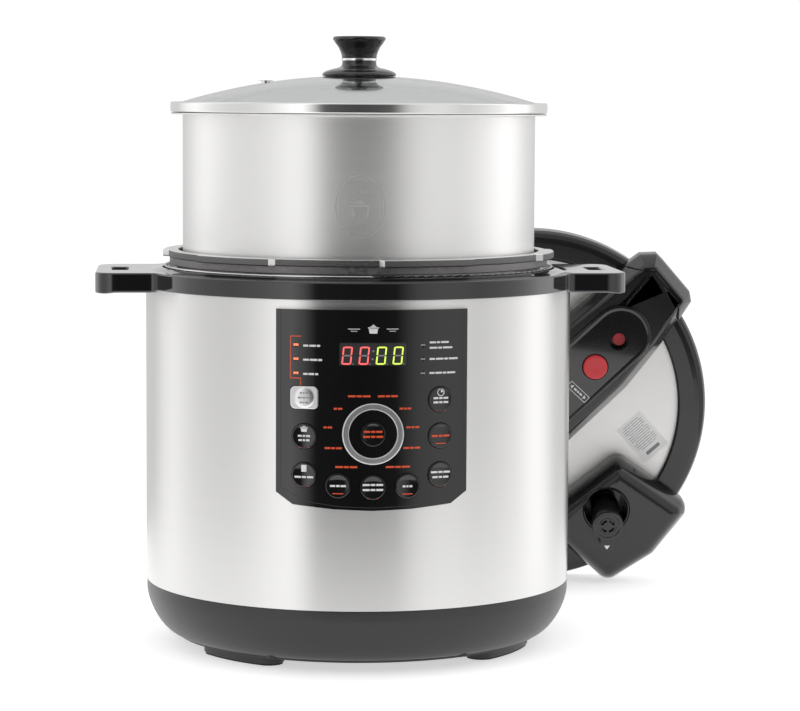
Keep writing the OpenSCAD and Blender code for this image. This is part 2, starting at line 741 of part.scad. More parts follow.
module lid_shell() {
  inner_r = lid_wall_r - lid_wall_t;
  color([0.86, 0.86, 0.86]) lid_place() difference() {
    union() {
      rotate_extrude() polygon([
        [0, lid_plate_z], [lid_wall_r, lid_plate_z], [lid_wall_r, lid_wall_z], [inner_r, lid_wall_z],
        [inner_r, lid_plate_z - lid_plate_t], [0, lid_plate_z - lid_plate_t]
      ]);
      for (i = [0 : 5]) rotate([0, 0, 60 * i + bar_angle - 13]) translate([0, 0, lid_wall_z + 0.5])
        rotate_extrude(angle = 26) translate([tooth_r, 0]) square([inner_r + 0.6 - tooth_r, 4]);
    }
    rotate([0, 0, bar_angle]) translate([float_x, float_y, -10]) cylinder(r = 6, h = 10);
    translate([valve_x, valve_y, -10]) cylinder(r = pipe_r + 0.02, h = 10);
    translate([0, 0, -10]) cylinder(r = 3, h = 10);
  }
}

module lid_ring() {
  color([0.08, 0.08, 0.085]) lid_place() difference() {
    rotate_extrude() polygon([
      [ring_in_r, lid_plate_z], [ring_in_r, -1.5], [ring_in_r + 1.5, 0], [150, 0.6], [153, 0.6],
      [157.8, -1.2],
      [lid_r, lid_edge_z], [lid_r, -24], [lid_wall_r + 0.02, -24], [lid_wall_r + 0.02, lid_plate_z]
    ]);
    rotate([0, 0, bar_angle]) translate([0, 0, -3]) linear_extrude(10) bar_plan(0.2);
    translate([0, 0, lid_plate_z]) linear_extrude(10) housing_plan(0.2);
  }
}

// Outline of the bar handle in the lid's plane, along X
module bar_plan(grow) {
  offset(delta = grow) polygon(concat(bar_side, -bar_side));
}

// The bar as a stack of two lofts: straight sides below, a sloped shoulder above
module bar_solid(inset) {
  hull() {
    translate([0, 0, -3 + e]) linear_extrude(14 - inset) offset(delta = -inset) bar_plan(0);
    translate([0, 0, bar_h - inset - 0.1]) linear_extrude(0.1) offset(delta = -9 - inset) bar_plan(0);
  }
}

module lid_handle() {
  color([0.09, 0.09, 0.095]) lid_place() rotate([0, 0, bar_angle]) difference() {
    bar_solid(0);
    translate([0, 0, -3.5]) bar_solid(3);
    translate([0, 0, -30]) cylinder(r = lid_wall_r + 0.1, h = 30 + lid_plate_z);
    translate([float_x, float_y, -5]) cylinder(r = float_hole_r, h = 60);
    translate([push_x, push_y, -5]) cylinder(r = push_r + 0.35, h = 60);
  }
}

module handle_cover() {
  end_x = 106.5;
  end_y = -2;
  end_r = 27;
  color([0.07, 0.07, 0.075]) lid_place() rotate([0, 0, bar_angle]) difference() {
    translate([0, 0, bar_h]) union() {
      translate([end_x, end_y, 0]) cylinder(r = end_r, h = cover_h);
      linear_extrude(cover_h) polygon([
        [end_x, end_y + end_r], [-30, end_y + end_r + 1], [-30, end_y - end_r - 1], [end_x, end_y - end_r]
      ]);
    }
    translate([float_x, float_y, 0]) cylinder(r = float_hole_r, h = 60);
    translate([push_x, push_y, 0]) cylinder(r = push_r + 0.35, h = 60);
  }
}

module housing_plan(grow) {
  hull() for (p = housing_corners) translate(p) circle(housing_corner_r + grow);
}

module valve_housing() {
  color([0.09, 0.09, 0.095]) lid_place() difference() {
    hull() {
      translate([0, 0, lid_plate_z]) linear_extrude(16) housing_plan(0);
      translate([0, 0, housing_h - 1]) linear_extrude(1) housing_plan(-8);
    }
    difference() {
      translate([0, 0, lid_plate_z - 1]) linear_extrude(housing_h + 1.4) housing_plan(-11);
      translate([valve_x, valve_y, -10]) cylinder(r = well_r + 2, h = 60);
    }
    translate([valve_x, valve_y, -2.4]) cylinder(r = well_r, h = 60);
    translate([valve_x, valve_y, -10]) cylinder(r = pipe_r + 0.1, h = 60);
  }
}

module sealing_gasket() {
  color([0.88, 0.88, 0.86]) lid_place() rotate_extrude() polygon([
    [149.6, -20], [149.6, -8], [151, -6.4], [156.4, -6.4], [157.2, -8], [157.2, -12], [155.6, -12],
    [155.6, -9], [151.6, -9], [151.6, -18], [154.8, -24], [153, -24.6]
  ]);
}

module gasket_plate() {
  color([0.75, 0.75, 0.75]) lid_place() difference() {
    rotate_extrude() polygon([
      [3.2, -12], [138, -12], [144, -10], [149.2, -10], [149.2, -11.2], [144.4, -11.2], [138.4, -13.2],
      [3.2, -13.2]
    ]);
    rotate([0, 0, bar_angle]) translate([float_x, float_y, -20]) cylinder(r = 9, h = 20);
    translate([valve_x, valve_y, -20]) cylinder(r = 13, h = 20);
  }
}

module exhaust_pipe() {
  color([0.8, 0.8, 0.8]) lid_place() translate([valve_x, valve_y, 0]) difference() {
    union() {
      translate([0, 0, -12]) cylinder(r = pipe_r, h = pipe_z1 + 12);
      translate([0, 0, -8]) cylinder(r = 7, h = 8 + lid_plate_z - lid_plate_t);
    }
    translate([0, 0, -13]) cylinder(r = 1.6, h = 40);
  }
}

module anti_block_cap() {
  color([0.75, 0.75, 0.76]) lid_place() translate([valve_x, valve_y, 0]) difference() {
    translate([0, 0, -22]) cylinder(r = 11, h = 22 + lid_plate_z - lid_plate_t);
    translate([0, 0, -21]) cylinder(r = 10.2, h = 20);
    for (a = [0 : 30 : 150]) rotate([0, 0, a]) translate([-12, -0.9, -19]) cube([24, 1.8, 8]);
  }
}

module lid_screws() {
  color("silver") lid_place() {
    rotate([0, 0, bar_angle]) for (s = [-1, 1]) translate([s * 50, 24, 0]) {
      translate([0, 0, -8.4]) cylinder(r = 4, h = 2.4);
    }
    translate([0, 0, -16]) cylinder(r = 6, h = 2.8);
    translate([0, 0, -13.2 - e]) cylinder(r = 2.9, h = 16);
  }
}

module float_pin() {
  color([0.75, 0.1, 0.1]) lid_place() rotate([0, 0, bar_angle]) translate([float_x, float_y, 0]) {
    translate([0, 0, -12]) cylinder(r = 3, h = 20);
    translate([0, 0, 8 - e]) cylinder(r = 5.5, h = 17);
  }
}

module lid_button() {
  color([0.8, 0.12, 0.12]) lid_place() rotate([0, 0, bar_angle]) translate([push_x, push_y, 0]) {
    translate([0, 0, 14]) cylinder(r = push_r, h = bar_h + cover_h + 1.5 - 14);
    translate([0, 0, bar_h + cover_h + 1.5 - e]) cylinder(r1 = push_r, r2 = push_r - 1.4, h = 1);
  }
}

// Frame of the loose steam valve: it leans on the lower side of its well
module valve_place() {
  lid_place() translate([valve_x, valve_y, pipe_z1]) rotate([valve_tilt, 0, 0]) translate([0, 0, -pipe_z1])
    children();
}

module valve_weight() {
  color([0.7, 0.7, 0.7]) valve_place() difference() {
    translate([0, 0, 1]) cylinder(r = 8.5, h = 24);
    translate([0, 0, 0]) cylinder(r = 7.2, h = pipe_z1 + 1.2);
    translate([0, 0, pipe_z1 + 1]) cylinder(r1 = 2, r2 = 0.2, h = 4);
  }
}

module valve_cap() {
  face_r = 14;
  color([0.08, 0.08, 0.085]) valve_place() difference() {
    union() {
      translate([0, 0, 12]) cylinder(r = 12.4, h = 30);
      translate([0, 0, 42 - e]) cylinder(r1 = 12.4, r2 = face_r, h = 4);
      translate([0, 0, 46 - 2 * e]) cylinder(r = face_r, h = 10);
      translate([-5.5, -26, 50]) cube([11, 16, 5]);
    }
    translate([0, 0, 11]) cylinder(r = 8.55, h = 14.1);
    for (a = [0 : 90 : 270]) rotate([0, 0, a + 12]) translate([0, 0, 53]) rotate_extrude(angle = 66)
      translate([4.2, 0]) square([2.2, 10]);
  }
}

base_pan();
foot_pads();
outer_shell();
collar();
bayonet_flange();
liner_can();
heat_shield();
heating_plate();
heating_element();
liner_sleeve();
sleeve_nut();
spring_plate();
pressure_switch();
thermal_fuse();
power_board();
control_board();
display_module();
control_panel();
display_window();
menu_ring();
power_inlet();
wire_harness();
base_screws();
temperature_sensor();
sensor_spring();
condensation_cup();
mode_button();
slow_cook_button();
yogurt_button();
hour_button();
cook_time_button();
minute_button();
timer_button();
start_button();
keep_warm_button();
menu_button();
inner_pot();
glass_dome();
glass_rim();
vent_eyelet();
knob_washer();
knob_screw();
knob_skirt();
knob_ring();
lid_knob();
lid_shell();
lid_ring();
lid_handle();
handle_cover();
valve_housing();
sealing_gasket();
gasket_plate();
exhaust_pipe();
anti_block_cap();
lid_screws();
float_pin();
lid_button();
valve_weight();
valve_cap();
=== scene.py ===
"""Looks of the electric pressure cooker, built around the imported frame. Sizes are millimetres."""
import json
import math

import bmesh
import bpy
from mathutils import Matrix, Quaternion, Vector


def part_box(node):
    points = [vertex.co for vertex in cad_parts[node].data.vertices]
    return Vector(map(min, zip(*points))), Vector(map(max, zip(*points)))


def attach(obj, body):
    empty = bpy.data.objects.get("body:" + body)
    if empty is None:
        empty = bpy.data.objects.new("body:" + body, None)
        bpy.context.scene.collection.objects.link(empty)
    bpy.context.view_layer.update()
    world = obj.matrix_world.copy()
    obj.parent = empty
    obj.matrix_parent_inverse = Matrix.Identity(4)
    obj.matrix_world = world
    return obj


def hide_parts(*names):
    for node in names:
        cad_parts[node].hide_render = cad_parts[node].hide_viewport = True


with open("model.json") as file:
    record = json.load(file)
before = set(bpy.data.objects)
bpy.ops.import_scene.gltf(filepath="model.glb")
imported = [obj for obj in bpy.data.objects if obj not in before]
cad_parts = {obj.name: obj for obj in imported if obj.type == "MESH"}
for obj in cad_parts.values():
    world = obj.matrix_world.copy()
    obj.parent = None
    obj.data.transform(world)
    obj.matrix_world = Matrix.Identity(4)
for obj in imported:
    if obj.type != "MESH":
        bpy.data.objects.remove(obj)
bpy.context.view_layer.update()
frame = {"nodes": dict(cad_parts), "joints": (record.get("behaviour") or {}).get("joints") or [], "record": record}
MM = 0.001
JOINTS = {joint["name"]: joint for joint in frame["joints"]}
SLOT_OF = {part["node"]: part["material_slot"] for part in frame["record"]["subparts"]}


# ---------------------------------------------------------------- frame measures, in millimetres

def box(node):
    """Lowest and highest corner of a CAD node."""
    low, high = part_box(node)
    return low / MM, high / MM


def middle(node):
    low, high = box(node)
    return (low + high) / 2


def radius(node):
    """Outer radius of a CAD node that is round about the cooker's axis."""
    low, high = box(node)
    return (high.x - low.x) / 2


def z_axis_frame(joint_x, joint_z, tip):
    """Matrix of a frame whose X and Z axes are two joints' axes."""
    x, z = Vector(joint_x).normalized(), Vector(joint_z).normalized()
    y = z.cross(x)
    turn = Matrix((x, y, z)).transposed().to_4x4()
    return Matrix.Translation(Vector(tip)) @ turn


BODY_R = radius("outer_shell")
COLLAR_Z = 287.3                                 # lower edge of the collar's band
FLOAT_HOLE_R = 7.5
PUSH_HOLE_R = 11.35
PANEL_R = BODY_R + 3
VALVE_POLAR = (112, math.radians(-52))           # where the steam pipe stands on the lid
PIPE_TOP = 10
BAR_ANGLE = math.radians(43)
ROCK = JOINTS["valve_rock"]
PIPE_TIP = Vector(ROCK["pos_m"]) / MM
VALVE_SPOT = (VALVE_POLAR[0] * math.cos(VALVE_POLAR[1]), VALVE_POLAR[0] * math.sin(VALVE_POLAR[1]), PIPE_TOP)
LID = z_axis_frame(ROCK["axis"], JOINTS["float_pin_rise"]["axis"], PIPE_TIP) @ Matrix.Translation(
    -Vector(VALVE_SPOT))
BAR = LID @ Matrix.Rotation(BAR_ANGLE, 4, "Z")
VALVE = z_axis_frame(ROCK["axis"], JOINTS["valve_turn"]["axis"], PIPE_TIP) @ Matrix.Translation(
    (0, 0, -PIPE_TOP))


def panel_frame(angle, z, out=0.0):
    """Frame on the body's radius at an angle from its front: X to the right, Y up, Z outwards."""
    a = math.radians(angle)
    x = Vector((math.cos(a), math.sin(a), 0))
    outward = Vector((math.sin(a), -math.cos(a), 0))
    turn = Matrix((x, Vector((0, 0, 1)), outward)).transposed().to_4x4()
    return Matrix.Translation(outward * out + Vector((0, 0, z))) @ turn


def panel_place(node):
    """Angle and height of a node on the control panel."""
    centre = middle(node)
    return math.degrees(math.atan2(centre.x, -centre.y)), centre.z


# ---------------------------------------------------------------- outlines and profiles

def arc(cx, cy, r, a0, a1, steps):
    """Points of an arc, angles in degrees."""
    turns = [math.radians(a0 + (a1 - a0) * i / steps) for i in range(steps + 1)]
    return [(cx + r * math.cos(t), cy + r * math.sin(t)) for t in turns]


def ring_points(r, count):
    return [(r * math.cos(math.tau * i / count), r * math.sin(math.tau * i / count)) for i in range(count)]


def at_height(outline, z):
    return [(x, y, z) for x, y in outline]


def polar(r, angle):
    """Matrix that moves to a place about the Z axis, angle in radians."""
    return Matrix.Translation((r * math.cos(angle), r * math.sin(angle), 0))


def rounded_rectangle(w, d, r, steps=6):
    points = []
    for i, (sx, sy) in enumerate([(1, 1), (-1, 1), (-1, -1), (1, -1)]):
        points += arc(sx * (w / 2 - r), sy * (d / 2 - r), r, 90 * i, 90 * i + 90, steps)
    return points


def rounded(points, steps=4, closed=True):
    """Rounds the corners of an outline whose points are (x, y) or (x, y, corner radius)."""
    out = []
    n = len(points)
    for i, p in enumerate(points):
        if len(p) < 3 or p[2] <= 0 or (not closed and i in (0, n - 1)):
            out.append((p[0], p[1]))
            continue
        here = Vector(p[:2])
        before = Vector(points[i - 1][:2]) - here
        after = Vector(points[(i + 1) % n][:2]) - here
        bend = before.angle(after)
        reach = min(p[2] / math.tan(bend / 2), before.length * 0.49, after.length * 0.49)
        a = here + before.normalized() * reach
        b = here + after.normalized() * reach
        for k in range(steps + 1):
            t = k / steps
            q = a * (1 - t) ** 2 + here * (2 * t * (1 - t)) + b * t ** 2
            out.append((q.x, q.y))
    return out


def inset_outline(points, amount):
    """Moves each edge of a counter-clockwise outline inwards."""
    n = len(points)
    out = []
    for i in range(n):
        p, a, b = Vector(points[i]), Vector(points[i - 1]), Vector(points[(i + 1) % n])
        da, db = (p - a).normalized(), (b - p).normalized()
        na, nb = Vector((-da.y, da.x)), Vector((-db.y, db.x))
        mean = na + nb
        if mean.length < 1e-6:
            mean = na
        mean.normalize()
        out.append(tuple(p + mean * (amount / max(mean.dot(na), 0.35))))
    return out


# ---------------------------------------------------------------- mesh building

class Shape:
    """Points and faces that functions add to, in millimetres."""

    def __init__(self):
        self.points, self.faces, self.kinds = [], [], []

    def add(self, points, faces, matrix=None, kind=0):
        start = len(self.points)
        self.points += [matrix @ Vector(p) if matrix else Vector(p) for p in points]
        self.faces += [[start + i for i in face] for face in faces]
        self.kinds += [kind] * len(faces)
        return self

    def loft(self, loops, closed=False, caps=True, matrix=None):
        """Joins successive loops of as many points; closed joins the last loop to the first."""
        n = len(loops[0])
        faces = []
        for i in range(len(loops) - (0 if closed else 1)):
            a, b = i * n, (i + 1) % len(loops) * n
            faces += [[a + k, a + (k + 1) % n, b + (k + 1) % n, b + k] for k in range(n)]
        if caps and not closed:
            faces += [list(range(n - 1, -1, -1)), [(len(loops) - 1) * n + k for k in range(n)]]
        return self.add([p for loop in loops for p in loop], faces, matrix)

    def lathe(self, profile, segments=144, matrix=None, closed=True):
        """Turns a profile of (radius, height) about Z; points on the axis become one point."""
        points, rows = [], []
        for r, z in profile:
            if r < 1e-6:
                rows.append([len(points)] * segments)
                points.append((0, 0, z))
            else:
                rows.append(list(range(len(points), len(points) + segments)))
                points += at_height(ring_points(r, segments), z)
        faces = []
        for i in range(len(rows) - (0 if closed else 1)):
            a, b = rows[i], rows[(i + 1) % len(rows)]
            for k in range(segments):
                j = (k + 1) % segments
                face = []
                for v in (a[k], a[j], b[j], b[k]):
                    if v not in face:
                        face.append(v)
                if len(face) > 2:
                    faces.append(face)
        return self.add(points, faces, matrix)

    def prism(self, outline, z0, z1, edge=0.0, matrix=None):
        """An outline raised from z0 to z1 with its upper edge rounded."""
        steps = 3
        loops = [at_height(outline, z0)]
        for k in range(steps + 1):
            t = math.pi / 2 * k / steps
            grown = inset_outline(outline, edge * (1 - math.cos(t))) if edge else outline
            loops.append(at_height(grown, z1 - edge * (1 - math.sin(t))))
            if not edge:
                break
        return self.loft(loops, matrix=matrix)

    def piece(self, name, body, paints, nodes=(), sharp=32, bevel=0.0, cuts=()):
        """Makes the Blender object, gives it to its body and hides the CAD nodes it stands for."""
        mesh = bpy.data.meshes.new(name)
        mesh.from_pydata([p * MM for p in self.points], [], self.faces)
        for paint in paints if isinstance(paints, (list, tuple)) else [paints]:
            mesh.materials.append(paint)
        mesh.polygons.foreach_set("material_index", self.kinds)
        face_outwards(mesh, weld=1e-7)
        obj = bpy.data.objects.new(name, mesh)
        bpy.context.scene.collection.objects.link(obj)
        for cutter in cuts:
            cut_away(obj, cutter)
        if bevel:
            round_edges(obj, bevel)
        smooth(obj, sharp)
        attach(obj, body)
        if nodes:
            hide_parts(*nodes)
        return obj


def face_outwards(mesh, weld=0.0):
    """Joins the points that lie closer than weld metres and turns every face outwards."""
    bm = bmesh.new()
    bm.from_mesh(mesh)
    if weld:
        bmesh.ops.remove_doubles(bm, verts=bm.verts, dist=weld)
    bmesh.ops.recalc_face_normals(bm, faces=bm.faces)
    bm.to_mesh(mesh)
    bm.free()


def smooth(obj, degrees):
    """Shades smooth, with edges sharper than an angle kept crisp."""
    mesh = obj.data
    bm = bmesh.new()
    bm.from_mesh(mesh)
    limit = math.radians(degrees)
    for face in bm.faces:
        face.smooth = True
    for edge in bm.edges:
        edge.smooth = not (edge.is_manifold and edge.calc_face_angle(0) > limit)
    bm.to_mesh(mesh)
    bm.free()
    weigh = obj.modifiers.new("normals", "WEIGHTED_NORMAL")
    weigh.keep_sharp = True
    apply_modifiers(obj)


def apply_modifiers(obj):
    graph = bpy.context.evaluated_depsgraph_get()
    graph.update()
    made = bpy.data.meshes.new_from_object(obj.evaluated_get(graph))
    old = obj.data
    obj.modifiers.clear()
    obj.data = made
    bpy.data.meshes.remove(old)


def cut_away(obj, shape):
    """Takes a closed shape out of a piece."""
    mesh = bpy.data.meshes.new("cutter")
    mesh.from_pydata([p * MM for p in shape.points], [], shape.faces)
    face_outwards(mesh)
    tool = bpy.data.objects.new("cutter", mesh)
    bpy.context.scene.collection.objects.link(tool)
    cutter = obj.modifiers.new("cut", "BOOLEAN")
    cutter.object = tool
    cutter.operation = "DIFFERENCE"
    cutter.solver = "EXACT"
    cutter.use_self = True
    apply_modifiers(obj)
    bpy.data.objects.remove(tool)
    bpy.data.meshes.remove(mesh)


def round_edges(obj, width):
    bevel = obj.modifiers.new("edges", "BEVEL")
    bevel.width = width * MM
    bevel.segments = 3
    bevel.limit_method = "ANGLE"
    bevel.angle_limit = math.radians(38)
    bevel.use_clamp_overlap = True
    apply_modifiers(obj)


# ---------------------------------------------------------------- materials

def nodes_of(name, colour, rough, metallic=0.0):
    paint = bpy.data.materials.new(name)
    paint.use_nodes = True
    shader = paint.node_tree.nodes["Principled BSDF"]
    shader.inputs["Base Color"].default_value = (*colour, 1)
    shader.inputs["Roughness"].default_value = rough
    shader.inputs["Metallic"].default_value = metallic
    return paint, shader, paint.node_tree


def grain(tree, scale, stretch=(1, 1, 1), detail=3.0):
    """A noise texture in the object's own coordinates, per metre."""
    place = tree.nodes.new("ShaderNodeTexCoord")
    mapping = tree.nodes.new("ShaderNodeMapping")
    mapping.inputs["Scale"].default_value = stretch
    noise = tree.nodes.new("ShaderNodeTexNoise")
    noise.inputs["Scale"].default_value = scale
    noise.inputs["Detail"].default_value = detail
    tree.links.new(place.outputs["Object"], mapping.inputs["Vector"])
    tree.links.new(mapping.outputs["Vector"], noise.inputs["Vector"])
    return noise.outputs["Fac"]


def spread(tree, source, low, high):
    """Maps a noise value to a range."""
    node = tree.nodes.new("ShaderNodeMapRange")
    node.inputs["From Min"].default_value = 0.3
    node.inputs["From Max"].default_value = 0.7
    node.inputs["To Min"].default_value = low
    node.inputs["To Max"].default_value = high
    tree.links.new(source, node.inputs["Value"])
    return node.outputs["Result"]


def tint(tree, shader, source, colour, amount):
    """Varies the base colour about its value."""
    mix = tree.nodes.new("ShaderNodeMix")
    mix.data_type = "RGBA"
    mix.inputs["A"].default_value = (*[c * (1 - amount) for c in colour], 1)
    mix.inputs["B"].default_value = (*[min(1, c * (1 + amount)) for c in colour], 1)
    tree.links.new(source, mix.inputs["Factor"])
    tree.links.new(mix.outputs["Result"], shader.inputs["Base Color"])


def relief(tree, shader, source, strength, depth):
    bump = tree.nodes.new("ShaderNodeBump")
    bump.inputs["Strength"].default_value = strength
    bump.inputs["Distance"].default_value = depth * MM
    tree.links.new(source, bump.inputs["Height"])
    tree.links.new(bump.outputs["Normal"], shader.inputs["Normal"])


def plastic(name, colour, rough, texture=900.0, depth=0.03, strength=0.3, coat=0.0, wobble=0.04):
    """Moulded plastic: a fine moulded texture, faint handling variation in gloss and colour."""
    paint, shader, tree = nodes_of(name, colour, rough)
    broad = grain(tree, 14.0)
    tree.links.new(spread(tree, broad, max(rough - wobble, 0.02), rough + wobble), shader.inputs["Roughness"])
    tint(tree, shader, broad, colour, 0.12)
    relief(tree, shader, grain(tree, texture, detail=2.0), strength, depth)
    shader.inputs["Coat Weight"].default_value = coat
    shader.inputs["Coat Roughness"].default_value = 0.04
    return paint


def brushed(name, colour, rough, stretch, depth=0.02, strength=0.25, anisotropy=0.0, tone=0.06):
    """Brushed metal: long streaks along the brushing in roughness, tone and relief."""
    paint, shader, tree = nodes_of(name, colour, rough, 1.0)
    streaks = grain(tree, 1.0, stretch, 6.0)
    cloud = grain(tree, 9.0)
    tree.links.new(spread(tree, streaks, rough * 0.94, rough * 1.06), shader.inputs["Roughness"])
    both = tree.nodes.new("ShaderNodeMath")
    half = spread(tree, cloud, -0.15, 0.15)
    tree.links.new(streaks, both.inputs[0])
    tree.links.new(half, both.inputs[1])
    tint(tree, shader, both.outputs[0], colour, tone)
    relief(tree, shader, streaks, strength, depth)
    if anisotropy:
        shader.inputs["Anisotropic"].default_value = anisotropy
        shader.inputs["Anisotropic Rotation"].default_value = 0.25
        tangent = tree.nodes.new("ShaderNodeTangent")
        tangent.direction_type = "RADIAL"
        tangent.axis = "Z"
        tree.links.new(tangent.outputs["Tangent"], shader.inputs["Tangent"])
    return paint


def cast(name, colour, rough, scale, depth, strength):
    """Sand-cast or blasted metal with a pitted surface."""
    paint, shader, tree = nodes_of(name, colour, rough, 1.0)
    pits = grain(tree, scale, detail=4.0)
    tree.links.new(spread(tree, pits, rough * 0.7, rough * 1.3), shader.inputs["Roughness"])
    tint(tree, shader, pits, colour, 0.35)
    relief(tree, shader, pits, strength, depth)
    return paint


def clear(name, colour, rough, ior, texture=40.0):
    """Glass or clear plastic with a very faint waviness."""
    paint, shader, tree = nodes_of(name, colour, rough)
    shader.inputs["Transmission Weight"].default_value = 1.0
    shader.inputs["IOR"].default_value = ior
    relief(tree, shader, grain(tree, texture), 0.05, 0.05)
    tint(tree, shader, grain(tree, 6.0), colour, 0.01)
    return paint


def ink(name, colour, glow=0.0):
    """Printed ink, etching, paper or a lit lens."""
    paint, shader, tree = nodes_of(name, colour, 0.42)
    tint(tree, shader, grain(tree, 700.0), colour, 0.06)
    if glow:
        shader.inputs["Emission Color"].default_value = (*colour, 1)
        shader.inputs["Emission Strength"].default_value = glow
    return paint


AROUND = (3, 3, 1600)                            # brushing round the axis: long in X and Y, fine in Z
PAINT = {
    "base_plastic": plastic("charcoal_plastic", (0.022, 0.021, 0.022), 0.33, 1500, 0.02, 0.25),
    "pad_rubber": plastic("foot_rubber", (0.02, 0.02, 0.02), 0.7, 600, 0.06, 0.5),
    "shell_steel": brushed("shell_steel", (0.745, 0.74, 0.73), 0.30, AROUND, 0.003, 0.05, 0.8, 0.025),
    "collar_plastic": plastic("piano_black", (0.004, 0.004, 0.005), 0.06, 60, 0.02, 0.03, 0.8, 0.02),
    # the flange's dark pitted metal is painted shade on its outer faces, its bright metal a painted highlight on
    # its tops and lug ends
    "flange_cast": cast("flange_casting_painted_shade", (0.16, 0.16, 0.16), 0.42, 900, 0.45, 1.0),
    "flange_cut": brushed("flange_painted_highlight", (0.85, 0.85, 0.84), 0.22, (300, 300, 60), 0.01, 0.2),
    "liner_steel": brushed("liner_steel", (0.62, 0.62, 0.61), 0.32, AROUND, 0.01, 0.2, 0.6),
    "shield_steel": brushed("shield_steel", (0.72, 0.72, 0.72), 0.22, AROUND, 0.01, 0.2, 0.4),
    "plate_aluminium": brushed("plate_aluminium", (0.66, 0.66, 0.65), 0.36, (700, 700, 3), 0.02, 0.4),
    # the tubing finish also colours the band under the flange dark, as painted shade
    "element_steel": cast("element_tube_and_painted_shade", (0.25, 0.24, 0.24), 0.5, 300, 0.05, 0.4),
    "zinc_steel": cast("zinc_plating", (0.62, 0.63, 0.64), 0.3, 500, 0.02, 0.3),
    "switch_plastic": plastic("switch_plastic", (0.03, 0.03, 0.032), 0.45),
    "board_green": plastic("solder_mask", (0.02, 0.11, 0.05), 0.3, 400, 0.03, 0.3),
    "panel_plastic": plastic("panel_black", (0.002, 0.002, 0.0025), 0.10, 40, 0.005, 0.02, 0.6, 0.02),
    "window_smoke": plastic("window_smoke", (0.045, 0.043, 0.045), 0.12, 40, 0.02, 0.03, 0.4, 0.02),
    "trim_silver": brushed("satin_silver", (0.62, 0.62, 0.63), 0.34, (900, 900, 40), 0.01, 0.2),
    "inlet_plastic": plastic("inlet_plastic", (0.015, 0.015, 0.015), 0.42),
    "wire_skin": plastic("wire_skin", (0.35, 0.06, 0.05), 0.5),
    "sensor_aluminium": brushed("sensor_aluminium", (0.7, 0.7, 0.7), 0.3, (700, 700, 3), 0.01, 0.3),
    "cup_clear": clear("cup_plastic", (0.86, 0.92, 0.95), 0.12, 1.46, 60),
    "button_black": plastic("button_black", (0.003, 0.003, 0.0035), 0.10, 50, 0.02, 0.02, 0.6, 0.02),
    "button_silver": brushed("button_silver", (0.78, 0.78, 0.79), 0.3, (60, 60, 900), 0.01, 0.15),
    "pot_steel": brushed("pot_steel", (0.90, 0.895, 0.885), 0.45, AROUND, 0.003, 0.05, 0.7, 0.015),
    "dome_glass": clear("dome_glass", (0.97, 1.0, 0.985), 0.0, 1.5, 25),
    "rim_steel": brushed("rim_steel", (0.86, 0.86, 0.85), 0.14, AROUND, 0.01, 0.1),
    "washer_clear": clear("washer_clear", (0.85, 0.88, 0.88), 0.2, 1.45),
    "knob_black": plastic("knob_bakelite", (0.014, 0.014, 0.015), 0.16, 300, 0.02, 0.1, 0.5, 0.03),
    "chrome": brushed("chrome", (0.88, 0.88, 0.88), 0.07, AROUND, 0.004, 0.05),
    "lid_steel": brushed("lid_steel", (0.92, 0.91, 0.895), 0.5, (260, 4, 260), 0.004, 0.06, 0.0, 0.02),
    "lid_plastic": plastic("lid_charcoal", (0.012, 0.012, 0.013), 0.20, 1400, 0.01, 0.15, 0.3, 0.03),
    "cover_plastic": plastic("cover_gloss", (0.008, 0.008, 0.009), 0.08, 70, 0.02, 0.03, 0.6, 0.02),
    "gasket_silicone": plastic("silicone", (0.72, 0.72, 0.68), 0.45, 300, 0.02, 0.2),
    "red_plastic": plastic("red_plastic", (0.66, 0.035, 0.045), 0.32, 900, 0.02, 0.2, 0.2),
}
WHITE_INK = ink("white_ink", (0.80, 0.80, 0.80))
GREY_INK = ink("grey_ink", (0.26, 0.26, 0.27))
ORANGE_INK = ink("orange_ink", (0.75, 0.09, 0.025))
STICKER_PAPER = ink("sticker_paper", (0.95, 0.95, 0.94))
ETCH = ink("etched_mark", (0.50, 0.50, 0.49))
RED_LIGHT = ink("red_digit", (1.0, 0.13, 0.13), 0.75)
GREEN_LIGHT = ink("green_digit", (0.62, 0.85, 0.10), 0.75)
AMBER_LIGHT = ink("amber_lamp", (1.0, 0.22, 0.10), 0.8)


# ---------------------------------------------------------------- base unit

